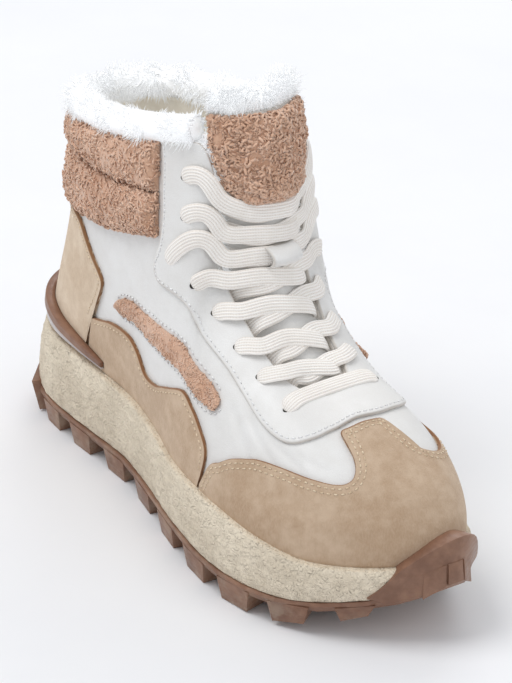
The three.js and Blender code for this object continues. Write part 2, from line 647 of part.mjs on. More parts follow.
// Exact joins and cuts
function solid(geometry) {
  const bare = geometry.clone();
  bare.deleteAttribute("normal");
  bare.deleteAttribute("uv");
  const merged = mergeVertices(bare, 0.0001);
  return new wasm.Manifold(
    new wasm.Mesh({
      numProp: 3,
      vertProperties: merged.attributes.position.array,
      triVerts: new Uint32Array(merged.index.array),
    }),
  );
}
function geometryOf(body) {
  const { numProp, vertProperties, triVerts } = body.simplify(FACET_TOLERANCE).getMesh();
  const geometry = new THREE.BufferGeometry();
  const buffer = new THREE.InterleavedBuffer(vertProperties, numProp);
  geometry.setAttribute("position", new THREE.InterleavedBufferAttribute(buffer, 3, 0));
  geometry.setIndex(new THREE.BufferAttribute(triVerts, 1));
  return geometry.toNonIndexed();
}
const joined = (bodies) => bodies.reduce((sum, body) => sum.add(body));

// The whole inside of the last out to an offset, for cutting neighbours back
const WALL_ROWS = 6;
const lastForm = (offset) =>
  solid(
    ringSolid([
      planRing(featherPlan, offset, (around) => featherHeight(around) - CLEARANCE),
      ...shares(WALL_ROWS).slice(1).map((up) => RING_PLACES.map((around) => wallPoint(around, up, offset))),
    ]),
  );

// A piece on the wall, cut back to the form below it. place(t, k) gives around and up; outer(t, k)
// its outer offset.
const CUT_DEPTH = 1.5;
const underPanel = lastForm(CLEARANCE);
const overPanel = lastForm(CLEARANCE + OVERLAY);
const OVER_PANEL = CLEARANCE + OVERLAY + CLEARANCE;
const panelGap = lastForm(OVER_PANEL);
function wallPiece(columns, rows, place, outer, below) {
  const face = (offset) =>
    shares(columns).map((t) =>
      shares(rows).map((k) => {
        const { around, up } = place(t, k);
        return wallPoint(around, up, offset(t, k));
      }),
    );
  return solid(sheetSolid(face(outer), face(() => -CUT_DEPTH))).subtract(below);
}
// A panel of even thickness: what lies between two forms of the last within its outline
const wallPanel = (columns, rows, place) =>
  wallPiece(columns, rows, place, () => OVER_PANEL + CUT_DEPTH, underPanel).intersect(overPanel);
const mix = (a, b, k) => a + (b - a) * k;

// Midsole: its wall leans from the sole's plan to the feather, with a rim round the upper
function midsoleRings(grow) {
  const inPlan = (around, share, offset) => {
    const low = offsetPlan(solePlan, around, offset - RAND_LIP);
    const high = offsetPlan(featherPlan, around, offset + RIM_THICKNESS);
    return low.lerp(high, share);
  };
  const level = (share) => (around) =>
    mix(rubberTop(around) + CLEARANCE - grow, rimHeight(around) + grow, share);
  const ring = ({ plan, level: height, bulge }) =>
    RING_PLACES.map((around) => {
      const p = inPlan(around, plan, grow + bulge * MIDSOLE_BULGE);
      return new THREE.Vector3(p.x, p.y, level(height)(around));
    });
  const floor = (around) => featherHeight(around) - CLEARANCE;
  return [
    ...MIDSOLE_SECTION.map(ring),
    planRing(featherPlan, 0, level(1)),
    planRing(featherPlan, -WALL, floor),
  ];
}
const midsole = solid(ringSolid(midsoleRings(0))).subtract(panelGap);

// Outsole: a rand plate, side lugs, centre blocks, the toe bumper and its wedges
const block = (near, far) =>
  solid(sheetSolid([near.slice(0, 2), far.slice(0, 2)], [[near[3], near[2]], [far[3], far[2]]]));
const placeAt = (share, side) => (side < 0 ? station(share) / 2 : 1 - station(share) / 2);
const underRand = (around) => rubberTop(around) - RAND_HEIGHT / 2;
function soleCorner(around, offset, height) {
  const p = offsetPlan(solePlan, around, offset);
  return new THREE.Vector3(p.x, p.y, height(around));
}
function sideLug(from, to, side) {
  const draft = LUG_DRAFT / SOLE_LENGTH;
  const section = (share, shift) => {
    const top = placeAt(share, side);
    const bottom = placeAt(share + shift, side);
    return [
      soleCorner(top, RAND_LIP, underRand),
      soleCorner(top, -LUG_DEPTH, underRand),
      soleCorner(bottom, LUG_DRAFT - LUG_DEPTH, groundHeight),
      soleCorner(bottom, RAND_LIP - LUG_DRAFT, groundHeight),
    ];
  };
  return block(section(from, draft), section(to, -draft));
}
function centreBlock(x, y, length, width) {
  const around = placeAt(x / SOLE_LENGTH, -1);
  const low = groundHeight(around);
  const high = underRand(around);
  const end = (sign) => {
    const top = x + (sign * length) / 2;
    const bottom = top - sign * LUG_DRAFT;
    return [
      new THREE.Vector3(top, y - width / 2, high),
      new THREE.Vector3(top, y + width / 2, high),
      new THREE.Vector3(bottom, y + width / 2 - LUG_DRAFT, low),
      new THREE.Vector3(bottom, y - width / 2 + LUG_DRAFT, low),
    ];
  };
  return block(end(-1), end(1));
}
function centreRow(share) {
  const lateral = solePlan(placeAt(share, -1)).y + LUG_DEPTH;
  const medial = solePlan(placeAt(share, 1)).y - LUG_DEPTH;
  const columns = Math.max(1, Math.floor((medial - lateral) / CENTRE_LUG_PITCH));
  return places(columns).map((start) => {
    const y = mix(lateral, medial, start + 0.5 / columns);
    return centreBlock(share * SOLE_LENGTH, y, CENTRE_LUG_LENGTH, CENTRE_LUG_WIDTH);
  });
}
const rubberPlate = solid(
  ringSolid([
    planRing(solePlan, -RAND_LIP, (around) => rubberTop(around) - RAND_HEIGHT),
    planRing(solePlan, RAND_LIP, (around) => rubberTop(around) - RAND_HEIGHT / 3),
    planRing(solePlan, RAND_LIP / 2, rubberTop),
    planRing(solePlan, -RAND_LIP, rubberTop),
  ]),
);
const BUMPER_COLUMNS = 18;
const BUMPER_ROWS = 3;
const bumperFace = (offset) =>
  shares(BUMPER_COLUMNS).map((t) => {
    const around = mix(BUMPER_LINE[0].around, BUMPER_LINE[BUMPER_LINE.length - 1].around, t);
    const rise = BUMPER_RISE * Math.max(0, along(BUMPER_LINE, "around", "top", around));
    const foot = offsetPlan(solePlan, around, RAND_LIP + offset);
    const head = offsetPlan(featherPlan, around, BUMPER_REACH + offset);
    return shares(BUMPER_ROWS).map((k) => {
      const plan = foot.clone().lerp(head, k * k);
      return new THREE.Vector3(plan.x, plan.y, mix(underRand(around), rubberTop(around) + rise, k));
    });
  });
const bumper = solid(sheetSolid(bumperFace(0), bumperFace(-BUMPER_ROOT)));
function toeWedge(around) {
  const half = WEDGE_LENGTH / SOLE_LENGTH / 4;
  const overRand = (place) => rubberTop(place) + WEDGE_RISE;
  const section = (place) => [
    soleCorner(place, RAND_LIP, overRand),
    soleCorner(place, -LUG_DEPTH, overRand),
    soleCorner(place, -LUG_DEPTH, groundHeight),
    soleCorner(place, WEDGE_REACH, groundHeight),
  ];
  return block(section(around - half), section(around + half));
}
function heelWedge(around) {
  const half = HEEL_WEDGE_LENGTH / SOLE_LENGTH / 2;
  const overRand = (place) => rubberTop(place) + HEEL_WEDGE_RISE;
  const section = (place) => [
    soleCorner(place, HEEL_WEDGE_REACH, overRand),
    soleCorner(place, -LUG_DEPTH, overRand),
    soleCorner(place, -LUG_DEPTH, groundHeight),
    soleCorner(place, RAND_LIP, groundHeight),
  ];
  return block(section(around - half), section(around + half));
}
const blocks = joined([
  ...SIDE_LUGS.flatMap(({ from, to }) => [sideLug(from, to, -1), sideLug(from, to, 1)]),
  ...CENTRE_LUGS.flatMap(centreRow),
  centreBlock(HEEL_CENTRE, 0, HEEL_PAD_LENGTH, HEEL_PAD_WIDTH),
  ...TOE_WEDGES.map(toeWedge),
  ...HEEL_WEDGES.map(heelWedge),
  bumper,
]);
const outsole = rubberPlate.add(
  blocks.subtract(solid(ringSolid(midsoleRings(CLEARANCE)))).subtract(panelGap),
);
add("outsole", geometryOf(outsole), GUM);
add("midsole", geometryOf(midsole), FOAM);

// Insole, on the foam inside the upper
const insoleEdge = -WALL - CLEARANCE;
add(
  "insole",
  ringSolid([
    planRing(featherPlan, insoleEdge, featherHeight),
    planRing(featherPlan, insoleEdge - INSOLE_DRAFT, (around) => featherHeight(around) + INSOLE_THICKNESS),
  ]),
  LINING,
);

// Lace holes, punched through eyestay and upper
const EYELET_SIDES = 4;
const eyeletsOf = (side) =>
  EYELETS.map((row) => ({
    ...row,
    around: side < 0 ? row.around : 1 - row.around,
    dive: side < 0 ? row.dive : 1 - row.dive,
    land: side < 0 ? row.land : 1 - row.land,
  }));
const lateralEyelets = eyeletsOf(-1);
const medialEyelets = eyeletsOf(1);
const PUNCH_LENGTH = 4 * (WALL + OVERLAY);
const punches = joined(
  [...lateralEyelets, ...medialEyelets].map(({ around, up }) => {
    const punch = new THREE.CylinderGeometry(EYELET_RADIUS, EYELET_RADIUS, PUNCH_LENGTH, EYELET_SIDES);
    const normal = lastNormal(around, up);
    const turn = new THREE.Quaternion().setFromUnitVectors(new THREE.Vector3(0, 1, 0), normal);
    punch.applyQuaternion(turn);
    punch.translate(...wallPoint(around, up, 0).toArray());
    return solid(punch);
  }),
);

// Upper: one hollow shell, open underneath, at the collar and down the throat
const upperFace = (offset) =>
  RING_PLACES.map((around) => shares(WALL_ROWS).map((up) => wallPoint(around, up, offset)));
const shell = solid(sheetSolid(upperFace(0), upperFace(-WALL), true));
add("upper", geometryOf(shell.subtract(punches)), LEATHER);

// Panels that stand on the feather
const PANEL_ROWS = 4;
const footPanel = (table, columns) =>
  geometryOf(
    wallPanel(columns, PANEL_ROWS, (t, k) => ({
      around: mix(atShare(table, "foot", t), atShare(table, "around", t), k),
      up: mix(PANEL_FOOT, atShare(table, "up", t), k),
    })),
  );
const opposite = (row) => ({ ...row, around: 1 - row.around, foot: 1 - row.foot, inner: 1 - row.inner });
const throughToe = (table) => [...table, ...table.slice(0, -1).reverse().map(opposite)];
const behind = (row) => ({ ...row, around: -row.around, foot: -row.foot });
add("toe_cap", footPanel(TOE_CAP_EDGE, 32), SUEDE);
add("side_panel_lateral", footPanel(SIDE_PANEL_EDGE, 16), SUEDE);
add("side_panel_medial", footPanel(SIDE_PANEL_EDGE.map(opposite), 16), SUEDE);
const counterTable = [...COUNTER_EDGE, ...COUNTER_EDGE.slice(0, -1).reverse().map(behind)];
add("heel_counter", footPanel(counterTable, 16), COUNTER_SUEDE);

// Eyestay: from its stitched outer edge to the throat, round the front in one piece
const eyestayTable = throughToe(EYESTAY_EDGE);
const eyestay = wallPanel(30, 2, (t, k) => ({
  around: mix(atShare(eyestayTable, "around", t), atShare(eyestayTable, "inner", t), k),
  up: mix(atShare(eyestayTable, "up", t), 1, k),
}));
add("eyestay", geometryOf(eyestay.subtract(punches)), LEATHER);

// Collar pads: two teddy rolls round the shaft, with a groove between them
const padTable = [...PAD_LINES.slice(1).reverse().map(behind), ...PAD_LINES];
function collarPad(from, to) {
  const pad = wallPiece(
    18,
    4,
    (t, k) => {
      const up = mix(from(t), to(t), k);
      const low = atShare(padTable, "low", t);
      const share = (up - low) / (1 - low);
      return { around: mix(atShare(padTable, "foot", t), atShare(padTable, "around", t), share), up };
    },
    (t, k) => {
      const ends = Math.min(1, (1 - Math.abs(2 * t - 1)) / PAD_END);
      return CLEARANCE + PAD_EDGE + PAD_CROWN * Math.sqrt(Math.sin(Math.PI * k)) * Math.sqrt(ends);
    },
    underPanel,
  );
  return geometryOf(pad);
}
const groove = (t) => atShare(padTable, "groove", t);
add("collar_pad_lower", collarPad((t) => atShare(padTable, "low", t), (t) => groove(t) - GROOVE), TEDDY);
add("collar_pad_upper", collarPad((t) => groove(t) + GROOVE, () => PAD_TOP), TEDDY);

// Teddy inlay on each quarter: one straight band with round ends
const inlay = (table) =>
  geometryOf(
    wallPiece(
      14,
      2,
      (t, k) => ({
        around: atShare(table, "around", t),
        up: atShare(table, "middle", t) + (2 * k - 1) * Math.max(INLAY_END, atShare(table, "half", t)),
      }),
      (t, k) => CLEARANCE + INLAY_THICKNESS * mix(INLAY_RIM, 1, Math.sin(Math.PI * k)),
      underPanel,
    ),
  );
add("inlay_lateral", inlay(INLAY_LINE), TEDDY);
add("inlay_medial", inlay(INLAY_LINE.map(opposite)), TEDDY);

// Heel clip: a moulded band round the counter and its paler face below
const clipTable = [...CLIP_LINE.slice(1).reverse().map(behind), ...CLIP_LINE];
const clipPart = (low, high, thickness) =>
  geometryOf(
    wallPiece(
      20,
      2,
      (t, k) => ({
        around: atShare(clipTable, "around", t),
        up: mix(atShare(clipTable, low, t), atShare(clipTable, high, t), k),
      }),
      (t) => OVER_PANEL + thickness * Math.sqrt(Math.min(1, CLIP_TIP + (1 - Math.abs(2 * t - 1)) / CLIP_END)),
      panelGap,
    ),
  );
add("heel_clip_band", clipPart("seam", "high", CLIP_THICKNESS), GUM);
add("heel_clip_face", clipPart("low", "middle", CLIP_FACE_THICKNESS), CLIP_FACE);

// Tongue: a leather sheet down the throat, with a teddy pad and plush at its top
function tongueBase(share, across) {
  const get = (name) => atShare(TONGUE_LINE, name, share);
  const step = 0.01;
  const slope = (name) => atShare(TONGUE_LINE, name, share + step) - atShare(TONGUE_LINE, name, share - step);
  const forward = new THREE.Vector2(COLLAR_HEIGHT * slope("z"), -SOLE_LENGTH * slope("x")).normalize();
  const sag = TONGUE_WIDTH * get("sag") * across * across;
  return new THREE.Vector3(
    SOLE_LENGTH * get("x") - forward.x * sag,
    BALL_WIDTH * get("y") + (TONGUE_WIDTH / 2) * get("width") * across,
    COLLAR_HEIGHT * get("z") - forward.y * sag,
  );
}
function tonguePoint(share, across, offset) {
  const step = 0.01;
  const above = tongueBase(Math.min(1, share + step), across);
  const rise = above.sub(tongueBase(Math.max(0, share - step), across));
  const side = tongueBase(share, across + step).sub(tongueBase(share, across - step));
  return tongueBase(share, across).addScaledVector(side.cross(rise).normalize(), offset);
}
const TONGUE_FRONT = TONGUE_THICKNESS / 2;
const tongueFace = (offset) =>
  shares(TONGUE_ROWS).map((share) =>
    shares(TONGUE_COLUMNS).map((k) => tonguePoint(share, 2 * k - 1, offset)),
  );
add("tongue", sheetSolid(tongueFace(TONGUE_FRONT), tongueFace(-TONGUE_FRONT)), LEATHER);
const padFace = (offset) =>
  shares(8).map((t) => {
    const share = atShare(TONGUE_PAD_LINE, "along", t);
    const half = atShare(TONGUE_PAD_LINE, "half", t);
    return shares(TONGUE_COLUMNS).map((k) => tonguePoint(share, half * (2 * k - 1), offset(t, k)));
  });
const PAD_GAP = TONGUE_FRONT + 2 * CLEARANCE;
const padCrown = (t, k) => {
  const round = Math.sqrt(Math.max(0, Math.sin(Math.PI * k))) * Math.sqrt(Math.max(0, Math.sin(Math.PI * t)));
  return PAD_GAP + PAD_EDGE + (TONGUE_PAD_THICKNESS - PAD_EDGE) * round;
};
add("tongue_pad", sheetSolid(padFace(padCrown), padFace(() => PAD_GAP)), TEDDY);

// Plush: a round roll along a path, with pointed locks fused on all round it
function plush(points, radius, lockRows, lockTurns) {
  const path = new THREE.CatmullRomCurve3(points);
  const outline = new THREE.Shape(
    places(PLUSH_SIDES).map((turn) => {
      const angle = 2 * Math.PI * turn;
      return new THREE.Vector2(radius * Math.cos(angle), radius * Math.sin(angle));
    }),
  );
  const steps = points.length - 1;
  const roll = solid(new THREE.ExtrudeGeometry(outline, { steps, bevelEnabled: false, extrudePath: path }));
  const frames = path.computeFrenetFrames(lockRows, false);
  const locks = places(lockRows).flatMap((share, i) =>
    places(lockTurns).map((turn, j) => {
      const angle = 2 * Math.PI * (turn + ((i * 5 + j * 3) % 7) / 7 / lockTurns);
      const out = frames.normals[i]
        .clone()
        .multiplyScalar(Math.cos(angle))
        .addScaledVector(frames.binormals[i], Math.sin(angle));
      const lock = new THREE.ConeGeometry(LOCK_WIDTH / 2, LOCK_LENGTH, 3);
      lock.applyQuaternion(new THREE.Quaternion().setFromUnitVectors(new THREE.Vector3(0, 1, 0), out));
      const centre = path.getPoint(share + 0.5 / lockRows).addScaledVector(out, radius + LOCK_LENGTH / 5);
      return solid(lock.translate(...centre.toArray()));
    }),
  );
  return geometryOf(joined([roll, ...locks]));
}
const collarPath = shares(22).map((t) => {
  const around = mix(-COLLAR_START, COLLAR_START, t);
  const p = wallPoint(around, 1, COLLAR_FUR_INSET);
  p.z += COLLAR_FUR_RADIUS + LOCK_LENGTH / 2 + FUR_GAP;
  return p;
});
add("collar_fur", plush(collarPath, COLLAR_FUR_RADIUS, 12, 2), FUR);
const tongueFurPath = shares(8).map((k) => {
  const p = tonguePoint(1, 0.92 * (2 * k - 1), -TONGUE_FRONT);
  p.z += TONGUE_FUR_RADIUS + LOCK_LENGTH / 2 + FUR_GAP;
  return p;
});
add("tongue_fur", plush(tongueFurPath, TONGUE_FUR_RADIUS, 4, 2), FUR);

// Laces: the lowest row runs straight across, the others cross and dive under the far edge
const onStay = CLEARANCE + OVERLAY + LACE_LIFT;
function ribbon(stops) {
  const path = new THREE.CatmullRomCurve3(stops.map((stop) => stop.at));
  const normals = new THREE.CatmullRomCurve3(stops.map((stop) => stop.normal));
  const face = (offset) =>
    shares(LACE_STEPS).map((t) => {
      const centre = path.getPoint(t);
      const along = path.getTangent(t);
      const across = new THREE.Vector3().crossVectors(normals.getPoint(t), along).normalize();
      const up = new THREE.Vector3().crossVectors(along, across);
      return [-1, 1].map((sign) =>
        centre.clone().addScaledVector(across, (sign * LACE_WIDTH) / 2).addScaledVector(up, offset),
      );
    });
  return solid(sheetSolid(face(LACE_THICKNESS / 2), face(-LACE_THICKNESS / 2)));
}
const stayStop = (around, up, lift) => ({
  at: wallPoint(around, up, onStay + lift),
  normal: lastNormal(around, up),
});
function tongueStop(share, across, lift) {
  const at = tonguePoint(share, across, TONGUE_FRONT + lift);
  return { at, normal: at.clone().sub(tonguePoint(share, across, 0)).normalize() };
}
// Where a lace dives under the throat's edge: just clear of it, level with the wall
function diveStop(around) {
  const edge = lastPoint(around, 1);
  const beyond = edge.clone().sub(lastPoint(around, 0.98)).normalize();
  const normal = lastNormal(around, 1);
  return { at: edge.addScaledVector(beyond, LACE_EDGE_GAP).addScaledVector(normal, OVERLAY / 2), normal };
}
function laceRow(i, from, to, side, lift) {
  const start = from[i];
  return ribbon([
    stayStop(start.around, start.up, 0),
    stayStop(mix(start.around, start.dive, LACE_TURN), mix(start.up, 1, LACE_TURN), lift),
    stayStop(start.dive, 1, lift + LACE_EDGE_LIFT),
    tongueStop(start.over + start.tilt, LACE_REACH * side, LACE_ARCH + lift),
    tongueStop(start.over, 0, LACE_ARCH + lift),
    tongueStop(start.over - start.tilt, -LACE_REACH * side, LACE_ARCH + lift),
    diveStop(to[i].land),
  ]);
}
const straightRow = (i) => {
  const a = lateralEyelets[i];
  const b = medialEyelets[i];
  return ribbon([
    stayStop(a.around, a.up, -STRAIGHT_DROP),
    stayStop(mix(a.around, a.dive, STRAIGHT_TURN), mix(a.up, 1, STRAIGHT_TURN), 0),
    stayStop(mix(b.around, b.dive, STRAIGHT_TURN), mix(b.up, 1, STRAIGHT_TURN), 0),
    stayStop(b.around, b.up, -STRAIGHT_DROP),
  ]);
};
EYELETS.forEach((_, i) => {
  const crossing = () =>
    laceRow(i, lateralEyelets, medialEyelets, -1, LACE_THICKNESS * LACE_OVERLAP).add(
      laceRow(i, medialEyelets, lateralEyelets, 1, 0),
    );
  const row = i === EYELETS.length - 1 ? straightRow(i) : crossing();
  add("lace_row_" + (i + 1), geometryOf(row), LACE);
});

// Lace keeper: a leather loop over the third row, closed on the tongue above and below it
const keeperHalf = KEEPER_WIDTH / TONGUE_WIDTH / atShare(TONGUE_LINE, "width", KEEPER_FROM);
const keeperFace = (thickness) =>
  shares(8).map((k) => {
    const share = mix(KEEPER_FROM, KEEPER_TO, k);
    const lift = KEEPER_RISE * Math.min(1, KEEPER_SHOULDER * Math.sin(Math.PI * k)) + CLEARANCE + thickness;
    return shares(2).map((j) => tonguePoint(share, (2 * j - 1) * keeperHalf, TONGUE_FRONT + lift));
  });
add("lace_keeper", sheetSolid(keeperFace(KEEPER_THICKNESS), keeperFace(0)), LEATHER);

const shoe = new THREE.Group();
shoe.add(group);
group.position.x = -HEEL_CENTRE;
export default shoe;
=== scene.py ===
"""Winter sneaker, right shoe, dressed round its solids: leather upper, suede and teddy overlays,
lugged sole, plush collar and flat laces. Tables and sizes are in millimetres from the sole's back."""
import logging
import math
from dataclasses import dataclass
from enum import Enum
from typing import Callable, Sequence

import bmesh
import bpy
import numpy as np
from mathutils import Matrix, Vector

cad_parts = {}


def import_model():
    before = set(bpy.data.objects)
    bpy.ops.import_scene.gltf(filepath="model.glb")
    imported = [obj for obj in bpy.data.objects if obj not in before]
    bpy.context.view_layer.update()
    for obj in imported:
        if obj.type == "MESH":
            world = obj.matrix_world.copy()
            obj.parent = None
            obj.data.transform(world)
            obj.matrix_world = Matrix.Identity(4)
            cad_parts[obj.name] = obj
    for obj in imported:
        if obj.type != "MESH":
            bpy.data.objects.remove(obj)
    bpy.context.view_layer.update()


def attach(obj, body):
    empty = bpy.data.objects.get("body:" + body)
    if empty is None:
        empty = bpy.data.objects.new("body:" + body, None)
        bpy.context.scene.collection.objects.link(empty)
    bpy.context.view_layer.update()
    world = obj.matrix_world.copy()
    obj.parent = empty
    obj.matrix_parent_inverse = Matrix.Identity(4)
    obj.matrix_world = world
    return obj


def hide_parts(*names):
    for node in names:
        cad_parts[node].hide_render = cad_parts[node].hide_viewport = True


LOG = logging.getLogger("winter_sneaker")
MM = 0.001

# Driving sizes, the same as the solids'
SOLE_LENGTH = 284.0
BALL_WIDTH = 102.0
FEATHER_UNDER_HEEL = 45.0
FEATHER_UNDER_BALL = 33.0
TOE_SPRING = 30.0
COLLAR_HEIGHT = 178.0
INSTEP_HEIGHT = 96.0
HEEL_SETBACK = 10.0
TOE_SETBACK = 10.0
HEEL_CENTRE = 42.0
WALL = 2.0
OVERLAY = 1.5
RIM_THICKNESS = 5.0
RIM_RISE = 5.0
MIDSOLE_BULGE = 1.6
OUTSOLE_HEIGHT = 13.0
RAND_LIP = 0.8
HEEL_BEVEL = 7.0
PLATE_SPRING = 0.6
PLATE_BEVEL = 0.4
TONGUE_WIDTH = 45.0
TONGUE_THICKNESS = 3.2
COLLAR_START = 0.252
STAY_LIFT = 3.1
LACE_ARCH = 2.2
LACE_EDGE_GAP = 4.6
LACE_EDGE_LIFT = 1.3
LACE_REACH = 0.4
KEEPER_FROM = 0.54
KEEPER_TO = 0.615
KEEPER_RISE = 9.5
KEEPER_WIDTH = 13.0

# Steps over which slopes are read, as shares of the way round, up the wall and along the tongue
PLAN_STEP = 0.0005
FACE_STEP = 0.001
TONGUE_STEP = 0.01

# Closest points of a mesh, in metres, and the share of a slab's height that counts as cut edge
MERGE = 3e-6
CUT_EDGE = 0.12

Array = np.ndarray
Surface = Callable[[Array, Array, Array], Array]


def hermite(keys: Array, values: Array, t: Array) -> Array:
    """Reads a smooth curve through keyed values, with finite-difference slopes.

    Args:
        keys: Rising places of the values.
        values: Value at each key.
        t: Places to read.

    Returns:
        The curve's value at each place.
    """
    last = len(keys) - 1
    below = np.maximum(np.arange(last + 1) - 1, 0)
    above = np.minimum(np.arange(last + 1) + 1, last)
    slope = (values[above] - values[below]) / (keys[above] - keys[below])
    i = np.searchsorted(keys[1:-1], t, side="left")
    h = keys[i + 1] - keys[i]
    k = np.clip((t - keys[i]) / h, 0.0, 1.0)
    return (
        (2 * k**3 - 3 * k**2 + 1) * values[i]
        + (k**3 - 2 * k**2 + k) * h * slope[i]
        + (3 * k**2 - 2 * k**3) * values[i + 1]
        + (k**3 - k**2) * h * slope[i + 1]
    )


def station(at: Array) -> Array:
    """Packs shares of a length so that both of its ends close round."""
    return np.arccos(1 - 2 * np.clip(at, 0.0, 1.0)) / math.pi


def mix(a: Array | float, b: Array | float, k: Array | float) -> Array:
    """Goes from a to b by the share k."""
    return a + (b - a) * k


def unit(vectors: Array) -> Array:
    """Scales vectors to length one."""
    return vectors / np.maximum(np.linalg.norm(vectors, axis=-1, keepdims=True), 1e-9)


class Table:
    """A short table with named columns, read as smooth curves."""

    def __init__(self, columns: str, rows: Sequence[Sequence[float]]) -> None:
        """Keeps the rows under their column names.

        Args:
            columns: Column names, parted by spaces.
            rows: Rows of numbers in that order.
        """
        self.names = columns.split()
        self.rows = np.array(rows, dtype=float)

    def values(self, name: str) -> Array:
        """Gives a whole column."""
        return self.rows[:, self.names.index(name)]

    def share(self, name: str, t: Array) -> Array:
        """Reads a column at shares of the way through the rows."""
        keys = np.linspace(0.0, 1.0, len(self.rows))
        return hermite(keys, self.values(name), np.asarray(t, dtype=float))

    def round(self, name: str, s: Array, odd: bool = False) -> Array:
        """Reads a column by station, mirrored at heel and toe.

        Args:
            name: The column.
            s: Stations from 0 at the heel to 1 at the toe.
            odd: Whether the column changes sign where it is mirrored.

        Returns:
            The column's value at each station.
        """
        sign = -1.0 if odd else 1.0
        keys = station(self.values("at"))
        values = self.values(name)
        all_keys = np.concatenate([[-keys[2], -keys[1]], keys, [2 - keys[-2], 2 - keys[-3]]])
        ends = sign * values[[2, 1, -2, -3]]
        all_values = np.concatenate([ends[:2], values, ends[2:]])
        return hermite(all_keys, all_values, s)

    def mirrored(self) -> "Table":
        """Gives the same outline on the other side of the shoe."""
        rows = self.rows.copy()
        for name in ("foot", "around", "inner"):
            if name in self.names:
                rows[:, self.names.index(name)] = 1 - rows[:, self.names.index(name)]
        return Table(" ".join(self.names), rows)

    def through_toe(self) -> "Table":
        """Runs the outline on round the toe to the other side."""
        return Table(" ".join(self.names), np.vstack([self.rows, self.mirrored().rows[-2::-1]]))

    def behind(self) -> "Table":
        """Turns the outline about the heel, to places below zero."""
        rows = self.rows.copy()
        for name in ("foot", "around"):
            if name in self.names:
                rows[:, self.names.index(name)] *= -1
        return Table(" ".join(self.names), rows)


FEATHER = Table("at swing lateral medial", [
    (0, 0, 0, 0), (0.012, 0, 0.118, 0.118), (0.05, 0, 0.23, 0.23), (0.1, 0, 0.284, 0.284),
    (0.17, 0, 0.304, 0.304), (0.26, 0, 0.314, 0.299), (0.36, 0, 0.328, 0.27), (0.46, 0, 0.382, 0.279),
    (0.56, 0, 0.451, 0.333), (0.66, 0, 0.49, 0.387), (0.73, 0.002, 0.495, 0.402),
    (0.79, 0.008, 0.48, 0.392), (0.86, 0.016, 0.428, 0.328), (0.92, 0.03, 0.334, 0.262),
    (0.965, 0.041, 0.22, 0.181), (0.99, 0.048, 0.118, 0.1), (1, 0.05, 0, 0),
])
SOLE_PLAN = Table("at swing lateral medial", [
    (0, 0, 0, 0), (0.012, 0, 0.137, 0.137), (0.05, 0, 0.27, 0.27), (0.1, 0, 0.328, 0.328),
    (0.16, 0, 0.348, 0.348), (0.25, 0, 0.353, 0.338), (0.35, 0, 0.358, 0.304), (0.45, 0, 0.417, 0.314),
    (0.55, 0, 0.49, 0.377), (0.65, 0, 0.544, 0.436), (0.72, 0, 0.552, 0.451),
    (0.78, 0.005, 0.534, 0.441), (0.85, 0.013, 0.478, 0.359), (0.91, 0.026, 0.364, 0.269),
    (0.96, 0.038, 0.215, 0.169), (0.988, 0.045, 0.105, 0.093), (1, 0.047, 0, 0),
])
SOLE_LINE = Table("at heel rim spring bevel", [
    (0, 1, 0.7, 0, 1), (0.04, 1.02, 0.7, 0, 0.5), (0.1, 1.03, 0.5, 0, 0), (0.3, 0.97, 0.3, 0, 0),
    (0.45, 0.6, 0.9, 0, 0), (0.55, 0.22, 1.2, 0, 0), (0.7, 0, 1.4, 0, 0), (0.8, -0.05, 0.8, 0.04, 0),
    (0.88, -0.1, 0.3, 0.2, 0), (0.94, 0, 0.2, 0.44, 0), (1, 0.2, 0.2, 1, 0),
])
TOP_EDGE = Table("at x lateral medial collar instep", [
    (0, 0.102, 0, 0, 0.882, 0), (0.03, 0.113, -0.127, 0.127, 0.885, 0),
    (0.08, 0.144, -0.23, 0.23, 0.89, 0), (0.16, 0.208, -0.294, 0.284, 0.904, 0),
    (0.27, 0.296, -0.319, 0.304, 0.93, 0), (0.38, 0.38, -0.314, 0.299, 0.961, 0),
    (0.47, 0.447, -0.284, 0.275, 0.989, 0), (0.53, 0.493, -0.24, 0.24, 1, 0),
    (0.57, 0.511, -0.216, 0.221, 0.927, 0), (0.61, 0.516, -0.206, 0.211, 0.75, 0.13),
    (0.65, 0.523, -0.201, 0.206, 0.5, 0.406), (0.69, 0.546, -0.196, 0.186, 0.25, 0.745),
    (0.74, 0.585, -0.191, 0.167, 0.1, 0.919), (0.8, 0.634, -0.186, 0.137, 0, 1),
    (0.87, 0.68, -0.176, 0.118, 0, 0.927), (0.93, 0.708, -0.137, 0.083, 0, 0.891),
    (0.975, 0.722, -0.078, 0.029, 0, 0.875), (1, 0.725, -0.029, -0.029, 0, 0.87),
])
WALL_SHAPE = Table("at belly rise arrive drop", [
    (0, 0, 0.294, -0.049, 0.559), (0.08, 0.01, 0.304, -0.029, 0.529), (0.16, 0.02, 0.314, -0.01, 0.49),
    (0.27, 0.039, 0.373, 0.029, 0.49), (0.38, 0.049, 0.412, 0.059, 0.49),
    (0.47, 0.039, 0.314, 0.098, 0.539), (0.53, 0.039, 0.265, 0.127, 0.588),
    (0.57, 0.039, 0.255, 0.137, 0.49), (0.61, 0.039, 0.255, 0.147, 0.373),
    (0.65, 0.039, 0.255, 0.147, 0.255), (0.69, 0.039, 0.255, 0.147, 0.196),
    (0.74, 0.039, 0.255, 0.147, 0.147), (0.8, 0.049, 0.235, 0.157, 0.108),
    (0.87, 0.049, 0.235, 0.216, 0.078), (0.93, 0.059, 0.235, 0.294, 0.059),
    (1, 0.059, 0.24, 0.373, 0.059),
])
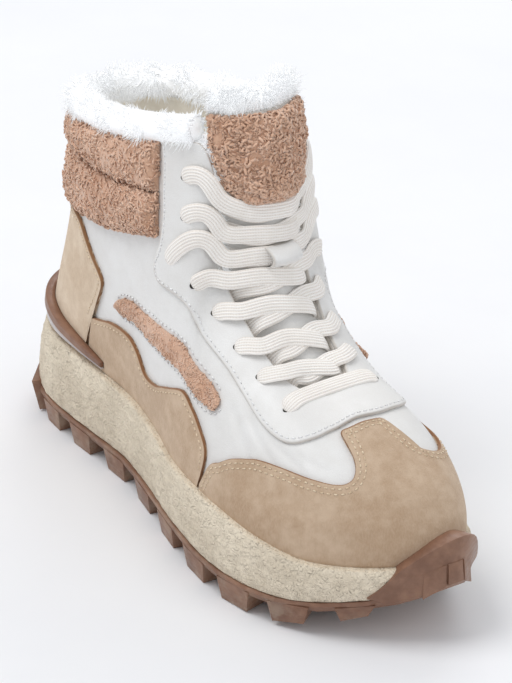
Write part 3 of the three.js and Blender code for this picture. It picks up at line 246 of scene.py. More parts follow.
TOE_CAP_EDGE = Table("foot around up", [
    (0.298, 0.298, 0.1), (0.303, 0.312, 0.25), (0.309, 0.322, 0.3), (0.32, 0.336, 0.37),
    (0.338, 0.358, 0.455), (0.36, 0.382, 0.495), (0.382, 0.406, 0.495), (0.4, 0.424, 0.485),
    (0.412, 0.437, 0.495), (0.424, 0.448, 0.535), (0.436, 0.457, 0.61), (0.446, 0.461, 0.7),
    (0.456, 0.462, 0.775), (0.478, 0.478, 0.8), (0.5, 0.5, 0.815), (0.522, 0.52, 0.8),
    (0.54, 0.525, 0.775), (0.55, 0.524, 0.7), (0.56, 0.527, 0.61), (0.572, 0.54, 0.545),
    (0.586, 0.556, 0.505), (0.6, 0.576, 0.485), (0.618, 0.594, 0.495), (0.64, 0.618, 0.495),
    (0.662, 0.642, 0.455), (0.68, 0.664, 0.37), (0.691, 0.678, 0.3), (0.697, 0.688, 0.25),
    (0.702, 0.702, 0.1),
])
SIDE_PANEL_EDGE = Table("foot around up", [
    (0.15, 0.157, 0.24), (0.166, 0.17, 0.255), (0.182, 0.182, 0.272), (0.202, 0.204, 0.272),
    (0.216, 0.216, 0.25), (0.226, 0.226, 0.21), (0.238, 0.24, 0.245), (0.25, 0.254, 0.31),
    (0.26, 0.268, 0.365), (0.27, 0.282, 0.405), (0.278, 0.292, 0.4), (0.284, 0.301, 0.375),
    (0.288, 0.3085, 0.3), (0.29, 0.302, 0.17), (0.2955, 0.2958, 0.1),
])
COUNTER_EDGE = Table("foot around up", [
    (0.148, 0.149, 0.12), (0.146, 0.155, 0.235), (0.144, 0.164, 0.33), (0.141, 0.171, 0.42),
    (0.136, 0.167, 0.465), (0.128, 0.154, 0.525), (0.118, 0.14, 0.59), (0.104, 0.124, 0.645),
    (0.08, 0.094, 0.675), (0.045, 0.05, 0.68), (0, 0, 0.68),
])
EYESTAY_EDGE = Table("inner around up", [
    (0.2595, 0.229, 1), (0.264, 0.2335, 0.94), (0.269, 0.2365, 0.87), (0.275, 0.24, 0.785),
    (0.282, 0.24, 0.71), (0.289, 0.236, 0.65), (0.297, 0.24, 0.605), (0.307, 0.256, 0.61),
    (0.32, 0.278, 0.64), (0.336, 0.308, 0.7), (0.352, 0.326, 0.71), (0.368, 0.341, 0.69),
    (0.386, 0.357, 0.66), (0.404, 0.373, 0.64), (0.422, 0.387, 0.635), (0.44, 0.403, 0.665),
    (0.46, 0.425, 0.725), (0.48, 0.455, 0.79), (0.5, 0.5, 0.84),
])
PAD_LINES = Table("around foot low groove", [
    (0, 0, 0.695, 0.93), (0.05, 0.05, 0.695, 0.925), (0.1, 0.1, 0.69, 0.915),
    (0.13, 0.13, 0.68, 0.885), (0.168, 0.168, 0.68, 0.865), (0.202, 0.205, 0.69, 0.855),
    (0.2265, 0.2365, 0.73, 0.852),
])
INLAY_LINE = Table("around middle half", [
    (0.19, 0.365, 0.006), (0.194, 0.37, 0.026), (0.202, 0.378, 0.037), (0.23, 0.412, 0.038),
    (0.262, 0.462, 0.04), (0.29, 0.5, 0.046), (0.31, 0.525, 0.052), (0.318, 0.535, 0.038),
    (0.322, 0.54, 0.008),
])
CLIP_LINE = Table("around low middle seam high", [
    (0, 0.06, 0.15, 0.153, 0.215), (0.05, 0.06, 0.145, 0.148, 0.21), (0.09, 0.058, 0.12, 0.123, 0.18),
    (0.12, 0.054, 0.09, 0.093, 0.14), (0.15, 0.046, 0.062, 0.065, 0.1),
    (0.172, 0.038, 0.045, 0.048, 0.068),
])
EYELETS = Table("around up dive land over tilt", [
    (0.252, 0.91, 0.279, 0.284, 0.722, 0.006), (0.257, 0.815, 0.289, 0.2915, 0.652, 0.008),
    (0.25, 0.69, 0.298, 0.3015, 0.582, 0.008), (0.275, 0.705, 0.308, 0.317, 0.5, 0.018),
    (0.308, 0.83, 0.326, 0.337, 0.395, 0.02), (0.332, 0.84, 0.35, 0.362, 0.275, 0.02),
    (0.357, 0.85, 0.38, 0.391, 0.17, 0.018), (0.394, 0.82, 0.42, 0.42, 0.12, 0),
])
TONGUE_LINE = Table("x z width sag", [
    (0.732, 0.434, 0.62, 0.05), (0.7, 0.459, 0.65, 0.07), (0.669, 0.492, 0.7, 0.1),
    (0.634, 0.54, 0.74, 0.14), (0.602, 0.592, 0.78, 0.18), (0.581, 0.646, 0.81, 0.29),
    (0.567, 0.708, 0.84, 0.35), (0.56, 0.775, 0.88, 0.4), (0.553, 0.848, 0.9, 0.39),
    (0.544, 0.932, 0.91, 0.37), (0.537, 1.016, 0.93, 0.33), (0.532, 1.084, 0.95, 0.28),
])
TONGUE_PAD_LINE = Table("along half", [
    (0.755, 0.28), (0.762, 0.52), (0.785, 0.7), (0.82, 0.82), (0.88, 0.92), (0.94, 0.97),
    (0.995, 0.96),
])

# Folds of the leather: from and to places on the wall, depth (below zero for a ridge) and width.
# The wall's girth and height turn those places into millimetres.
CREASES = Table("around_a up_a around_b up_b depth width", [
    (0.337, 0.55, 0.352, 0.38, 0.7, 3.0), (0.352, 0.6, 0.372, 0.5, 0.5, 2.4),
    (0.373, 0.6, 0.398, 0.545, 0.45, 2.2), (0.4, 0.6, 0.425, 0.56, 0.35, 2.0),
    (0.302, 0.62, 0.318, 0.42, 0.6, 3.2), (0.21, 0.62, 0.232, 0.5, 0.7, 4.5),
    (0.2, 0.55, 0.226, 0.45, -0.5, 4.0), (0.663, 0.55, 0.648, 0.38, 0.7, 3.0),
    (0.648, 0.6, 0.628, 0.5, 0.5, 2.4), (0.627, 0.6, 0.602, 0.545, 0.45, 2.2),
    (0.698, 0.62, 0.682, 0.42, 0.6, 3.2), (0.79, 0.62, 0.768, 0.5, 0.7, 4.5),
    (0.345, 0.3, 0.39, 0.34, 0.5, 5.0), (0.655, 0.3, 0.61, 0.34, 0.5, 5.0),
    (0.47, 0.4, 0.53, 0.42, -0.5, 7.0), (0.4, 0.15, 0.46, 0.2, 0.3, 5.0),
])
AROUND_MM = 640.0
UP_MM = 80.0


class Last:
    """The outer face of the upper, by place round it and share of its height."""

    @staticmethod
    def side(around: Array) -> tuple[Array, Array]:
        """Gives the station of a place and its side, -1 lateral and +1 medial."""
        turn = np.asarray(around, dtype=float) % 1.0
        return np.where(turn <= 0.5, 2 * turn, 2 - 2 * turn), np.where(turn <= 0.5, -1.0, 1.0)

    def plan(self, table: Table, start: float, length: float, around: Array) -> Array:
        """Gives points of a closed plan outline.

        Args:
            table: Its halves and swing by station.
            start: Its hindmost place.
            length: Its length.
            around: Places round it.

        Returns:
            The points, from above.
        """
        s, side = self.side(around)
        half = np.where(side < 0, table.round("lateral", s, True), table.round("medial", s, True))
        y = BALL_WIDTH * (table.round("swing", s) + side * half)
        return np.stack([start + length * (1 - np.cos(math.pi * s)) / 2, y], axis=-1)

    def feather(self, around: Array) -> Array:
        """Gives the plan of the upper's lower edge."""
        return self.plan(FEATHER, HEEL_SETBACK, SOLE_LENGTH - HEEL_SETBACK - TOE_SETBACK, around)

    def sole(self, around: Array) -> Array:
        """Gives the plan of the sole at the rubber's top line."""
        return self.plan(SOLE_PLAN, 0.0, SOLE_LENGTH, around)

    @staticmethod
    def outward(outline: Callable[[Array], Array], around: Array) -> Array:
        """Gives the outward direction of a plan outline."""
        way = outline(around + PLAN_STEP) - outline(around - PLAN_STEP)
        return unit(np.stack([way[..., 1], -way[..., 0]], axis=-1))

    def line(self, name: str, around: Array) -> Array:
        """Reads a column of the sole's height table."""
        return SOLE_LINE.round(name, self.side(around)[0])

    def rubber_top(self, around: Array) -> Array:
        """Gives the height of the rubber's top line."""
        spring = TOE_SPRING * PLATE_SPRING * np.maximum(0.0, self.line("spring", around))
        bevel = HEEL_BEVEL * PLATE_BEVEL * np.maximum(0.0, self.line("bevel", around))
        return OUTSOLE_HEIGHT + spring + bevel

    def feather_height(self, around: Array) -> Array:
        """Gives the height of the upper's lower edge."""
        return FEATHER_UNDER_BALL + (FEATHER_UNDER_HEEL - FEATHER_UNDER_BALL) * self.line("heel", around)

    def rim_height(self, around: Array) -> Array:
        """Gives the height of the foam's rim."""
        return self.feather_height(around) + RIM_RISE * self.line("rim", around)

    def top(self, around: Array) -> Array:
        """Gives the edge of the opening."""
        s, side = self.side(around)
        share = (1 - np.cos(math.pi * s)) / 2
        at = TOP_EDGE.values("at")
        y = np.zeros_like(s)
        for name, sign in (("lateral", -1.0), ("medial", 1.0)):
            values = TOP_EDGE.values(name)
            along = hermite(station(at), values - values[-1] * at**2, s) + values[-1] * share**2
            y = np.where(side == sign, along, y)
        z = COLLAR_HEIGHT * TOP_EDGE.round("collar", s) + INSTEP_HEIGHT * TOP_EDGE.round("instep", s)
        return np.stack([SOLE_LENGTH * TOP_EDGE.round("x", s), BALL_WIDTH * y, z], axis=-1)

    def face(self, around: Array, up: Array) -> Array:
        """Gives points of the wall's outer face, a curve from the feather to the opening's edge.

        Args:
            around: Places round the wall, 0 at the heel and 0.5 at the toe.
            up: Shares of its height.

        Returns:
            The points.
        """
        around, up = np.broadcast_arrays(np.asarray(around, float), np.asarray(up, float))
        s, _ = self.side(around)
        foot = self.feather(around)
        out = self.outward(self.feather, around)
        out3 = np.concatenate([out, np.zeros_like(out[..., :1])], axis=-1)
        start = np.concatenate([foot, self.feather_height(around)[..., None]], axis=-1)
        end = self.top(around)
        shape = {name: BALL_WIDTH * WALL_SHAPE.round(name, s)[..., None] for name in WALL_SHAPE.names[1:]}
        rise = np.array([0.0, 0.0, 1.0])
        first = start + out3 * shape["belly"] + rise * shape["rise"]
        second = end + out3 * shape["arrive"] - rise * shape["drop"]
        k = up[..., None]
        return (
            (1 - k) ** 3 * start + 3 * (1 - k) ** 2 * k * first
            + 3 * (1 - k) * k**2 * second + k**3 * end
        )

    def tangents(self, around: Array, up: Array) -> tuple[Array, Array]:
        """Gives how the face moves with place round it and with height."""
        low = np.maximum(0.0, up - FACE_STEP)
        high = np.minimum(1.0, up + FACE_STEP)
        ahead, behind = self.face(around + FACE_STEP, up), self.face(around - FACE_STEP, up)
        round_way = (ahead - behind) / (2 * FACE_STEP)
        up_way = (self.face(around, high) - self.face(around, low)) / (high - low)[..., None]
        return round_way, up_way

    def normal(self, around: Array, up: Array) -> Array:
        """Gives the wall's outward direction."""
        round_way, up_way = self.tangents(around, up)
        return unit(np.cross(round_way, up_way))

    def folds(self, around: Array, up: Array) -> Array:
        """Gives the depth of the leather's folds at a place, in millimetres."""
        depth = np.zeros_like(around)
        turn = around % 1.0
        for a0, u0, a1, u1, deep, wide in CREASES.rows:
            start = np.array([a0 * AROUND_MM, u0 * UP_MM])
            way = np.array([a1 * AROUND_MM, u1 * UP_MM]) - start
            length = np.linalg.norm(way)
            p = np.stack([turn * AROUND_MM, up * UP_MM], axis=-1) - start
            share = (p @ way) / length**2
            off = np.linalg.norm(p - np.clip(share, 0.0, 1.0)[..., None] * way, axis=-1)
            depth += deep * np.exp(-((off / wide) ** 2))
        return depth

    def point(self, around: Array, up: Array, offset: Array | float) -> Array:
        """Gives points off the creased wall."""
        around, up = np.broadcast_arrays(np.asarray(around, float), np.asarray(up, float))
        lift = np.broadcast_to(offset, around.shape) - self.folds(around, up)
        return self.face(around, up) + self.normal(around, up) * lift[..., None]

    def beside(self, around: Array, up: Array, distance: float) -> tuple[Array, Array]:
        """Moves a line sideways on the wall.

        Args:
            around: The line's places round the wall.
            up: Its heights.
            distance: Millimetres towards the collar, or below zero towards the sole.

        Returns:
            The places and heights of the moved line.
        """
        round_way, up_way = self.tangents(around, up)
        line = unit(np.gradient(self.face(around, up), axis=0))
        across = unit(np.cross(unit(np.cross(round_way, up_way)), line)) * distance
        aa, au, uu = (np.sum(a * b, -1) for a, b in
                      ((round_way, round_way), (round_way, up_way), (up_way, up_way)))
        ca, cu = np.sum(round_way * across, -1), np.sum(up_way * across, -1)
        det = aa * uu - au * au
        return around + (ca * uu - cu * au) / det, up + (cu * aa - ca * au) / det


LAST = Last()


class Tongue:
    """Shape of the tongue: by share of its length from the root, and across from -1 to 1."""

    @staticmethod
    def middle(share: Array, across: Array) -> Array:
        """Gives points of the tongue's middle face."""
        share, across = np.broadcast_arrays(np.asarray(share, float), np.asarray(across, float))
        low, high = share - TONGUE_STEP, share + TONGUE_STEP
        slope_x = TONGUE_LINE.share("x", high) - TONGUE_LINE.share("x", low)
        slope_z = TONGUE_LINE.share("z", high) - TONGUE_LINE.share("z", low)
        forward = unit(np.stack([COLLAR_HEIGHT * slope_z, -SOLE_LENGTH * slope_x], axis=-1))
        sag = TONGUE_WIDTH * TONGUE_LINE.share("sag", share) * across**2
        return np.stack([
            SOLE_LENGTH * TONGUE_LINE.share("x", share) - forward[..., 0] * sag,
            TONGUE_WIDTH / 2 * TONGUE_LINE.share("width", share) * across,
            COLLAR_HEIGHT * TONGUE_LINE.share("z", share) - forward[..., 1] * sag,
        ], axis=-1)

    def point(self, share: Array, across: Array, offset: Array | float) -> Array:
        """Gives points off the tongue, forwards where the offset is above zero."""
        share, across = np.broadcast_arrays(np.asarray(share, float), np.asarray(across, float))
        low, high = np.maximum(0.0, share - TONGUE_STEP), np.minimum(1.0, share + TONGUE_STEP)
        rise = self.middle(high, across) - self.middle(low, across)
        side = self.middle(share, across + TONGUE_STEP) - self.middle(share, across - TONGUE_STEP)
        way = unit(np.cross(side, rise))
        return self.middle(share, across) + way * np.broadcast_to(offset, share.shape)[..., None]


TONGUE = Tongue()
TONGUE_FRONT = TONGUE_THICKNESS / 2


# Mesh building


def to_frame(points: Array) -> Array:
    """Turns millimetres from the sole's back into the frame's metres."""
    return (points - np.array([HEEL_CENTRE, 0.0, 0.0])) * MM


def ripple(points: Array, size: float, seed: int, waves: int = 40) -> Array:
    """Gives smooth random relief between about -1 and 1.

    Args:
        points: Places in millimetres.
        size: Width of a hump in millimetres.
        seed: Chooses the pattern.
        waves: How many waves make it up.

    Returns:
        The relief at each place.
    """
    rng = np.random.default_rng(seed)
    way = unit(rng.normal(size=(waves, 3))) * rng.uniform(0.7, 1.35, (waves, 1)) * math.pi / size
    phase = rng.uniform(0.0, 2 * math.pi, waves)
    total = np.zeros(points.shape[:-1])
    for direction, start in zip(way, phase):
        total += np.cos(points @ direction + start)
    return total / math.sqrt(waves / 2) / 1.6


class Slot(Enum):
    """Material slots of the part's record."""

    GUM = "gum_rubber"
    FOAM = "foam"
    LINING = "lining"
    LEATHER = "leather"
    SUEDE = "suede"
    PALE_SUEDE = "pale_suede"
    TEDDY = "teddy"
    PLUSH = "plush"
    LACE = "lace"
    CLIP_FACE = "clip_face"


def publish(mesh: bpy.types.Mesh, finish: bpy.types.Material,
            replaces: Sequence[str] = ()) -> bpy.types.Object:
    """Makes a mesh a piece of the shoe.

    Args:
        mesh: The finished mesh, in the frame.
        finish: Its material.
        replaces: CAD nodes that the piece stands for.

    Returns:
        The new object.
    """
    piece = bpy.data.objects.new(mesh.name, mesh)
    bpy.context.scene.collection.objects.link(piece)
    mesh.materials.clear()
    mesh.materials.append(finish)
    mesh.polygons.foreach_set("use_smooth", np.ones(len(mesh.polygons), dtype=bool))
    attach(piece, "root")
    if replaces:
        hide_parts(*replaces)
    mesh.calc_loop_triangles()
    LOG.info("%s: %d triangles", piece.name, len(mesh.loop_triangles))
    return piece


def lattice(name: str, columns: int, rows: int,
            solve: Callable[[Array, Array], tuple[Array, dict[str, Array]]]) -> bpy.types.Mesh:
    """Bends a grid into a closed shape and merges what meets.

    Args:
        name: The mesh's name.
        columns: Cells across.
        rows: Cells along.
        solve: Gives points in millimetres and named point values for column and row numbers.

    Returns:
        The mesh, with its faces turned outwards.
    """
    mesh = bpy.data.meshes.new(name)
    grid = bmesh.new()
    bmesh.ops.create_grid(grid, x_segments=columns, y_segments=rows, size=1.0)
    grid.to_mesh(mesh)
    grid.free()
    flat = np.empty(len(mesh.vertices) * 3)
    mesh.vertices.foreach_get("co", flat)
    flat = flat.reshape(-1, 3)[:, :2]
    cell = (flat - flat.min(0)) / (flat.max(0) - flat.min(0)) * np.array([columns, rows])
    i, j = np.rint(cell).astype(int).T
    points, layers = solve(i, j)
    mesh.vertices.foreach_set("co", to_frame(points).ravel())
    for key, values in layers.items():
        mesh.attributes.new(key, "FLOAT", "POINT").data.foreach_set("value", values.astype(np.float32))
    grid = bmesh.new()
    grid.from_mesh(mesh)
    bmesh.ops.remove_doubles(grid, verts=grid.verts, dist=MERGE)
    bmesh.ops.recalc_face_normals(grid, faces=grid.faces)
    grid.to_mesh(mesh)
    grid.free()
    return mesh


RIM_PROFILE = ((0.0, 0.0), (0.0, 0.5), (0.12, 0.78), (0.4, 0.94), (1.0, 1.0))


@dataclass(frozen=True)
class Stops:
    """Places along one way of a slab, closer together over its two rounded rims."""

    cells: int
    start_rim: float = 0.02
    end_rim: float = 0.02

    def arrays(self) -> tuple[Array, Array]:
        """Gives the places and the share of the thickness at each."""
        first = [(share * self.start_rim, height) for share, height in RIM_PROFILE]
        last = [(1 - share * self.end_rim, height) for share, height in RIM_PROFILE[::-1]]
        inner = np.linspace(self.start_rim, 1 - self.end_rim, self.cells + 1)[1:-1]
        rows = [*first, *((place, 1.0) for place in inner), *last]
        return tuple(np.array(rows).T)


def slab(name: str, surface: Surface, along: Stops, across: Stops,
         lower: float | Callable[[Array, Array], Array] = 0.05,
         upper: float | Callable[[Array, Array], Array] = OVERLAY + 0.25,
         looped: bool = False,
         relief: Callable[[Array], Array] | None = None) -> bpy.types.Mesh:
    """Makes a closed flat piece with rounded rims on a surface.

    Args:
        name: The mesh's name.
        surface: Gives points from the way along, the way across and an offset.
        along: Stops of the way along.
        across: Stops of the way across.
        lower: Offset of the hidden face.
        upper: Offset of the seen face.
        looped: Whether the way along closes on itself.
        relief: Extra height of the seen face, from its points.

    Returns:
        The mesh, with a point value rim that is 1 on the cut edge.
    """
    t_at, t_high = along.arrays()
    if looped:
        t_at = np.linspace(0.0, 1.0, along.cells + 1)
        t_high = np.ones_like(t_at)
    k_at, k_high = across.arrays()
    loop_at = np.concatenate([k_at, k_at[-2::-1]])
    loop_high = np.concatenate([k_high, np.zeros(len(k_at) - 1)])
    seen = np.concatenate([np.ones(len(k_at)), np.zeros(len(k_at) - 1)])

    def solve(i: Array, j: Array) -> tuple[Array, dict[str, Array]]:
        """Places the slab's points."""
        t, k = t_at[j], loop_at[i]
        high = np.minimum(t_high[j], loop_high[i])
        low = lower(t, k) if callable(lower) else np.full_like(t, lower)
        top = upper(t, k) if callable(upper) else np.full_like(t, upper)
        offset = low + (top - low) * high
        points = surface(t, k, offset)
        if relief is not None:
            offset = offset + relief(points) * high
            points = surface(t, k, offset)
        rim = seen[i] * np.clip((1.0 - high) / CUT_EDGE, 0.0, 1.0)
        return points, {"rim": rim, "along": t, "across": k}

    return lattice(name, len(loop_at) - 1, len(t_at) - 1, solve)


def shaded(mesh: bpy.types.Mesh, value: float) -> bpy.types.Mesh:
    """Gives every point of a pile's ground the same shade value."""
    layer = mesh.attributes.new("shade", "FLOAT", "POINT")
    layer.data.foreach_set("value", np.full(len(mesh.vertices), value, dtype=np.float32))
    return mesh


def sealed(mesh: bpy.types.Mesh) -> bpy.types.Mesh:
    """Closes a mesh's open rims and turns its faces outwards."""
    form = bmesh.new()
    form.from_mesh(mesh)
    bmesh.ops.holes_fill(form, edges=[edge for edge in form.edges if edge.is_boundary])
    bmesh.ops.recalc_face_normals(form, faces=form.faces)
    form.to_mesh(mesh)
    form.free()
    return mesh


def with_tufts(body: bpy.types.Mesh, tufts: bpy.types.Mesh) -> bpy.types.Mesh:
    """Joins a pile's tufts into the mesh that they stand on."""
    both = bmesh.new()
    both.from_mesh(body)
    both.from_mesh(tufts)
    both.to_mesh(body)
    both.free()
    bpy.data.meshes.remove(tufts)
    return body


def template(build: Callable[[bmesh.types.BMesh], None]) -> tuple[Array, Array]:
    """Gives the points and triangles of a small form that is repeated many times."""
    form = bmesh.new()
    build(form)
    bmesh.ops.triangulate(form, faces=form.faces)
    form.verts.ensure_lookup_table()
    points = np.array([v.co[:] for v in form.verts])
    faces = np.array([[v.index for v in face.verts] for face in form.faces])
    form.free()
    return points, faces


def copies(name: str, faces: Array, points: Array, shade: Array | None = None) -> bpy.types.Mesh:
    """Joins copies of a small form into one mesh.

    Args:
        name: The mesh's name.
        faces: The form's triangles.
        points: Points of every copy in millimetres, as (copies, points, 3).
        shade: A value for each point, as (copies, points).

    Returns:
        The joined mesh.
    """
    count, size = points.shape[:2]
    index = (faces[None] + (np.arange(count) * size)[:, None, None]).reshape(-1)
    mesh = bpy.data.meshes.new(name)
    mesh.vertices.add(count * size)
    mesh.vertices.foreach_set("co", to_frame(points).ravel())
    mesh.loops.add(len(index))
    mesh.loops.foreach_set("vertex_index", index.astype(np.int32))
    mesh.polygons.add(len(index) // 3)
    mesh.polygons.foreach_set("loop_start", np.arange(0, len(index), 3, dtype=np.int32))
    if shade is not None:
        layer = mesh.attributes.new("shade", "FLOAT", "POINT")
        layer.data.foreach_set("value", shade.astype(np.float32).ravel())
    mesh.update(calc_edges=True)
    return mesh


# How plush strands bend together and alone, and how teddy curls stand, tumble and climb
TUFT_SIZE = 9.0
TUFT_BEND = 0.9
STRAND_BEND = 0.35
CURL_UPRIGHT = 0.55
CURL_TUMBLE = 0.6
CURL_CLIMB = 0.25


def side_axes(way: Array, rng: np.random.Generator) -> tuple[Array, Array]:
    """Gives two directions square to each given one, turned at random."""
    other = rng.normal(size=way.shape)
    first = unit(np.cross(way, other))
    return first, np.cross(way, first)


def strand_form(form: bmesh.types.BMesh) -> None:
    """Builds a pointed three-sided strand of unit length with two places to bend."""
    bmesh.ops.create_cone(form, cap_ends=True, segments=3, radius1=1.0, radius2=0.12, depth=1.0)
    bmesh.ops.translate(form, verts=form.verts, vec=(0.0, 0.0, 0.5))
    for height in (0.35, 0.7):
        bmesh.ops.bisect_plane(
            form, geom=[*form.verts, *form.edges, *form.faces], plane_co=(0, 0, height), plane_no=(0, 0, 1))


def hole_form(form: bmesh.types.BMesh) -> None:
    """Builds a small dished disc, the shadow of a punched hole."""
    bmesh.ops.create_cone(form, cap_ends=True, segments=16, radius1=1.35, radius2=1.25, depth=0.6)
    top = [face for face in form.faces if face.calc_center_median().z > 0.25]
    bmesh.ops.inset_region(form, faces=top, thickness=0.3, depth=0.0)
    bmesh.ops.translate(form, verts=list(top[0].verts), vec=(0, 0, -0.12))


def stitch_form(form: bmesh.types.BMesh) -> None:
    """Builds a small rounded stitch, one unit long."""
    bmesh.ops.create_icosphere(form, subdivisions=1, radius=0.5)


def curl_form(form: bmesh.types.BMesh) -> None:
    """Builds a short bent yarn loop: part of a three-sided ring."""
    upright = Matrix.Translation((1.0, 0, 0)) @ Matrix.Rotation(math.pi / 2, 4, "X")
    bmesh.ops.create_circle(form, cap_ends=True, segments=3, radius=0.5, matrix=upright)
    bmesh.ops.spin(
        form, geom=[*form.verts, *form.edges, *form.faces], cent=(0, 0, 0), axis=(0, 0, 1),
        angle=math.radians(250), steps=4, use_merge=False)
    bmesh.ops.remove_doubles(form, verts=form.verts, dist=1e-5)


def strands(name: str, roots: Array, ways: Array, length: tuple[float, float], width: float,
            fall: float, spread: float, seed: int) -> bpy.types.Mesh:
    """Makes plush from curved pointed strands.

    Args:
        name: The mesh's name.
        roots: Where the strands start.
        ways: Unit directions that they start in.
        length: Shortest and longest strand.
        width: Half width at the root.
        fall: How far the tip sinks, as a share of the length.
        spread: How far tips wander sideways, as a share of the length.
        seed: Chooses the pattern.

    Returns:
        The joined mesh.
    """
    base, faces = template(strand_form)
    rng = np.random.default_rng(seed)
    count = len(roots)
    long = rng.uniform(*length, count)[:, None, None]
    tuft = np.stack([ripple(roots, TUFT_SIZE, seed + n) for n in (1, 2, 3)], axis=-1)
    bend = (tuft * TUFT_BEND + rng.normal(size=(count, 3)) * STRAND_BEND) * spread
    bend[:, 2] -= fall
    first, second = side_axes(ways, rng)
    z = base[None, :, 2:3]
    points = (
        roots[:, None] + ways[:, None] * z * long + bend[:, None] * z**2 * long
        + (first[:, None] * base[None, :, 0:1] + second[:, None] * base[None, :, 1:2]) * width
    )
    # Painted shade value: 0 at each strand's root, rising towards its tip.
    shade = np.broadcast_to(base[None, :, 2], (count, len(base))) * rng.uniform(0.75, 1.0, (count, 1))
    return copies(name, faces, points, shade)


def curls(name: str, roots: Array, normals: Array, size: tuple[float, float], seed: int) -> bpy.types.Mesh:
    """Makes the curly pile of teddy fleece.

    Args:
        name: The mesh's name.
        roots: Places on the fleece.
        normals: Outward directions there.
        size: Smallest and largest loop radius.
        seed: Chooses the pattern.

    Returns:
        The joined mesh.
    """
    base, faces = template(curl_form)
    rng = np.random.default_rng(seed)
    count = len(roots)
    radius = rng.uniform(*size, count)[:, None, None]
    lean = unit(normals * CURL_UPRIGHT + rng.normal(size=(count, 3)) * CURL_TUMBLE)
    first, second = side_axes(lean, rng)
    form = base[None] * radius
    points = (
        roots[:, None] + first[:, None] * form[..., 0:1] + second[:, None] * form[..., 1:2]
        + lean[:, None] * (form[..., 2:3] + radius * CURL_CLIMB * (base[None, :, 1:2] + 1))
    )
    # Painted shade value: lower the nearer a curl's point lies to the fleece.
    height = np.sum((points - roots[:, None]) * normals[:, None], axis=-1)
    shade = np.clip(0.5 + height / (2.2 * size[1]), 0.0, 1.0)
    return copies(name, faces, points, shade)


def spaced(points: Array, pitch: float) -> tuple[Array, Array, Array]:
    """Walks along a line in even steps.

    Args:
        points: Close points of the line.
        pitch: Length of a step.

    Returns:
        The places, the directions of the line there, and the places as row numbers of points.
    """
    way = np.concatenate([[0.0], np.cumsum(np.linalg.norm(np.diff(points, axis=0), axis=1))])
    at = np.arange(pitch / 2, way[-1] - pitch / 4, pitch)
    rows = np.interp(at, way, np.arange(len(points)))
    centre = np.stack([np.interp(at, way, points[:, n]) for n in range(3)], axis=-1)
    reach = pitch / 10
    ahead = np.stack([np.interp(at + reach, way, points[:, n]) for n in range(3)], axis=-1)
    back = np.stack([np.interp(at - reach, way, points[:, n]) for n in range(3)], axis=-1)
    return centre, unit(ahead - back), rows


# Shader building


def paint(red: int, green: int, blue: int) -> tuple[float, float, float, float]:
    """Turns a screen colour into the shader's linear one."""
    linear = [((c / 255 + 0.055) / 1.055) ** 2.4 if c > 10 else c / 255 / 12.92 for c in (red, green, blue)]
    return (*linear, 1.0)


Socket = bpy.types.NodeSocket


class Tree:
    """Short ways to build a node tree."""

    def __init__(self, tree: bpy.types.NodeTree) -> None:
        """Takes an empty tree."""
        self.tree = tree

    def node(self, kind: str, inputs: dict[str | int, object] | None = None,
             **settings: object) -> bpy.types.Node:
        """Adds a node.

        Args:
            kind: Its type, without the ShaderNode prefix.
            inputs: Values or sockets for its inputs.
            settings: Its own settings.

        Returns:
            The node.
        """
        node = self.tree.nodes.new("ShaderNode" + kind if not kind.startswith("Node") else kind)
        for name, value in settings.items():
            setattr(node, name, value)
        for name, value in (inputs or {}).items():
            if isinstance(value, bpy.types.NodeSocket):
                self.tree.links.new(value, node.inputs[name])
            else:
                node.inputs[name].default_value = value
        return node

    def math(self, operation: str, a: object, b: object = 0.0) -> Socket:
        """Adds a Math node and gives its result."""
        return self.node("Math", {0: a, 1: b}, operation=operation).outputs[0]

    def noise(self, vector: Socket, scale: object, detail: float = 3.0, rough: float = 0.55) -> Socket:
        """Adds a noise texture and gives its value."""
        inputs = {"Vector": vector, "Scale": scale, "Detail": detail, "Roughness": rough}
        return self.node("TexNoise", inputs).outputs[0]

    def blend(self, share: object, a: object, b: object) -> Socket:
        """Mixes two colours by a share."""
        node = self.node("Mix", {0: share, 6: a, 7: b}, data_type="RGBA")
        return node.outputs[2]

    def range(self, value: object, low: float, high: float, to_low: float = 0.0,
              to_high: float = 1.0) -> Socket:
        """Maps a range of values onto another, with soft ends."""
        inputs = {"Value": value, "From Min": low, "From Max": high, "To Min": to_low, "To Max": to_high}
        return self.node("MapRange", inputs, interpolation_type="SMOOTHSTEP").outputs[0]

    def value(self, name: str) -> Socket:
        """Reads one of the piece's own point values."""
        return self.node("Attribute", attribute_name=name).outputs["Fac"]


def group(name: str, inputs: dict[str, float], outputs: Sequence[str],
          build: Callable[[Tree, dict[str, Socket]], Sequence[Socket]]) -> bpy.types.NodeTree:
    """Builds a shared effect as a node group.

    Args:
        name: Its name.
        inputs: Names and usual values of its number inputs; it also takes a Vector.
        outputs: Names of its outputs.
        build: Makes the nodes and gives a socket for each output.

    Returns:
        The group.
    """
    tree = bpy.data.node_groups.new(name, "ShaderNodeTree")
    tree.interface.new_socket("Vector", in_out="INPUT", socket_type="NodeSocketVector")
    for key, value in inputs.items():
        tree.interface.new_socket(key, in_out="INPUT", socket_type="NodeSocketFloat").default_value = value
    for key in outputs:
        tree.interface.new_socket(key, in_out="OUTPUT", socket_type="NodeSocketFloat")
    nodes = Tree(tree)
    source = nodes.node("NodeGroupInput")
    target = nodes.node("NodeGroupOutput")
    for key, socket in zip(outputs, build(nodes, source.outputs)):
        tree.links.new(socket, target.inputs[key])
    return tree


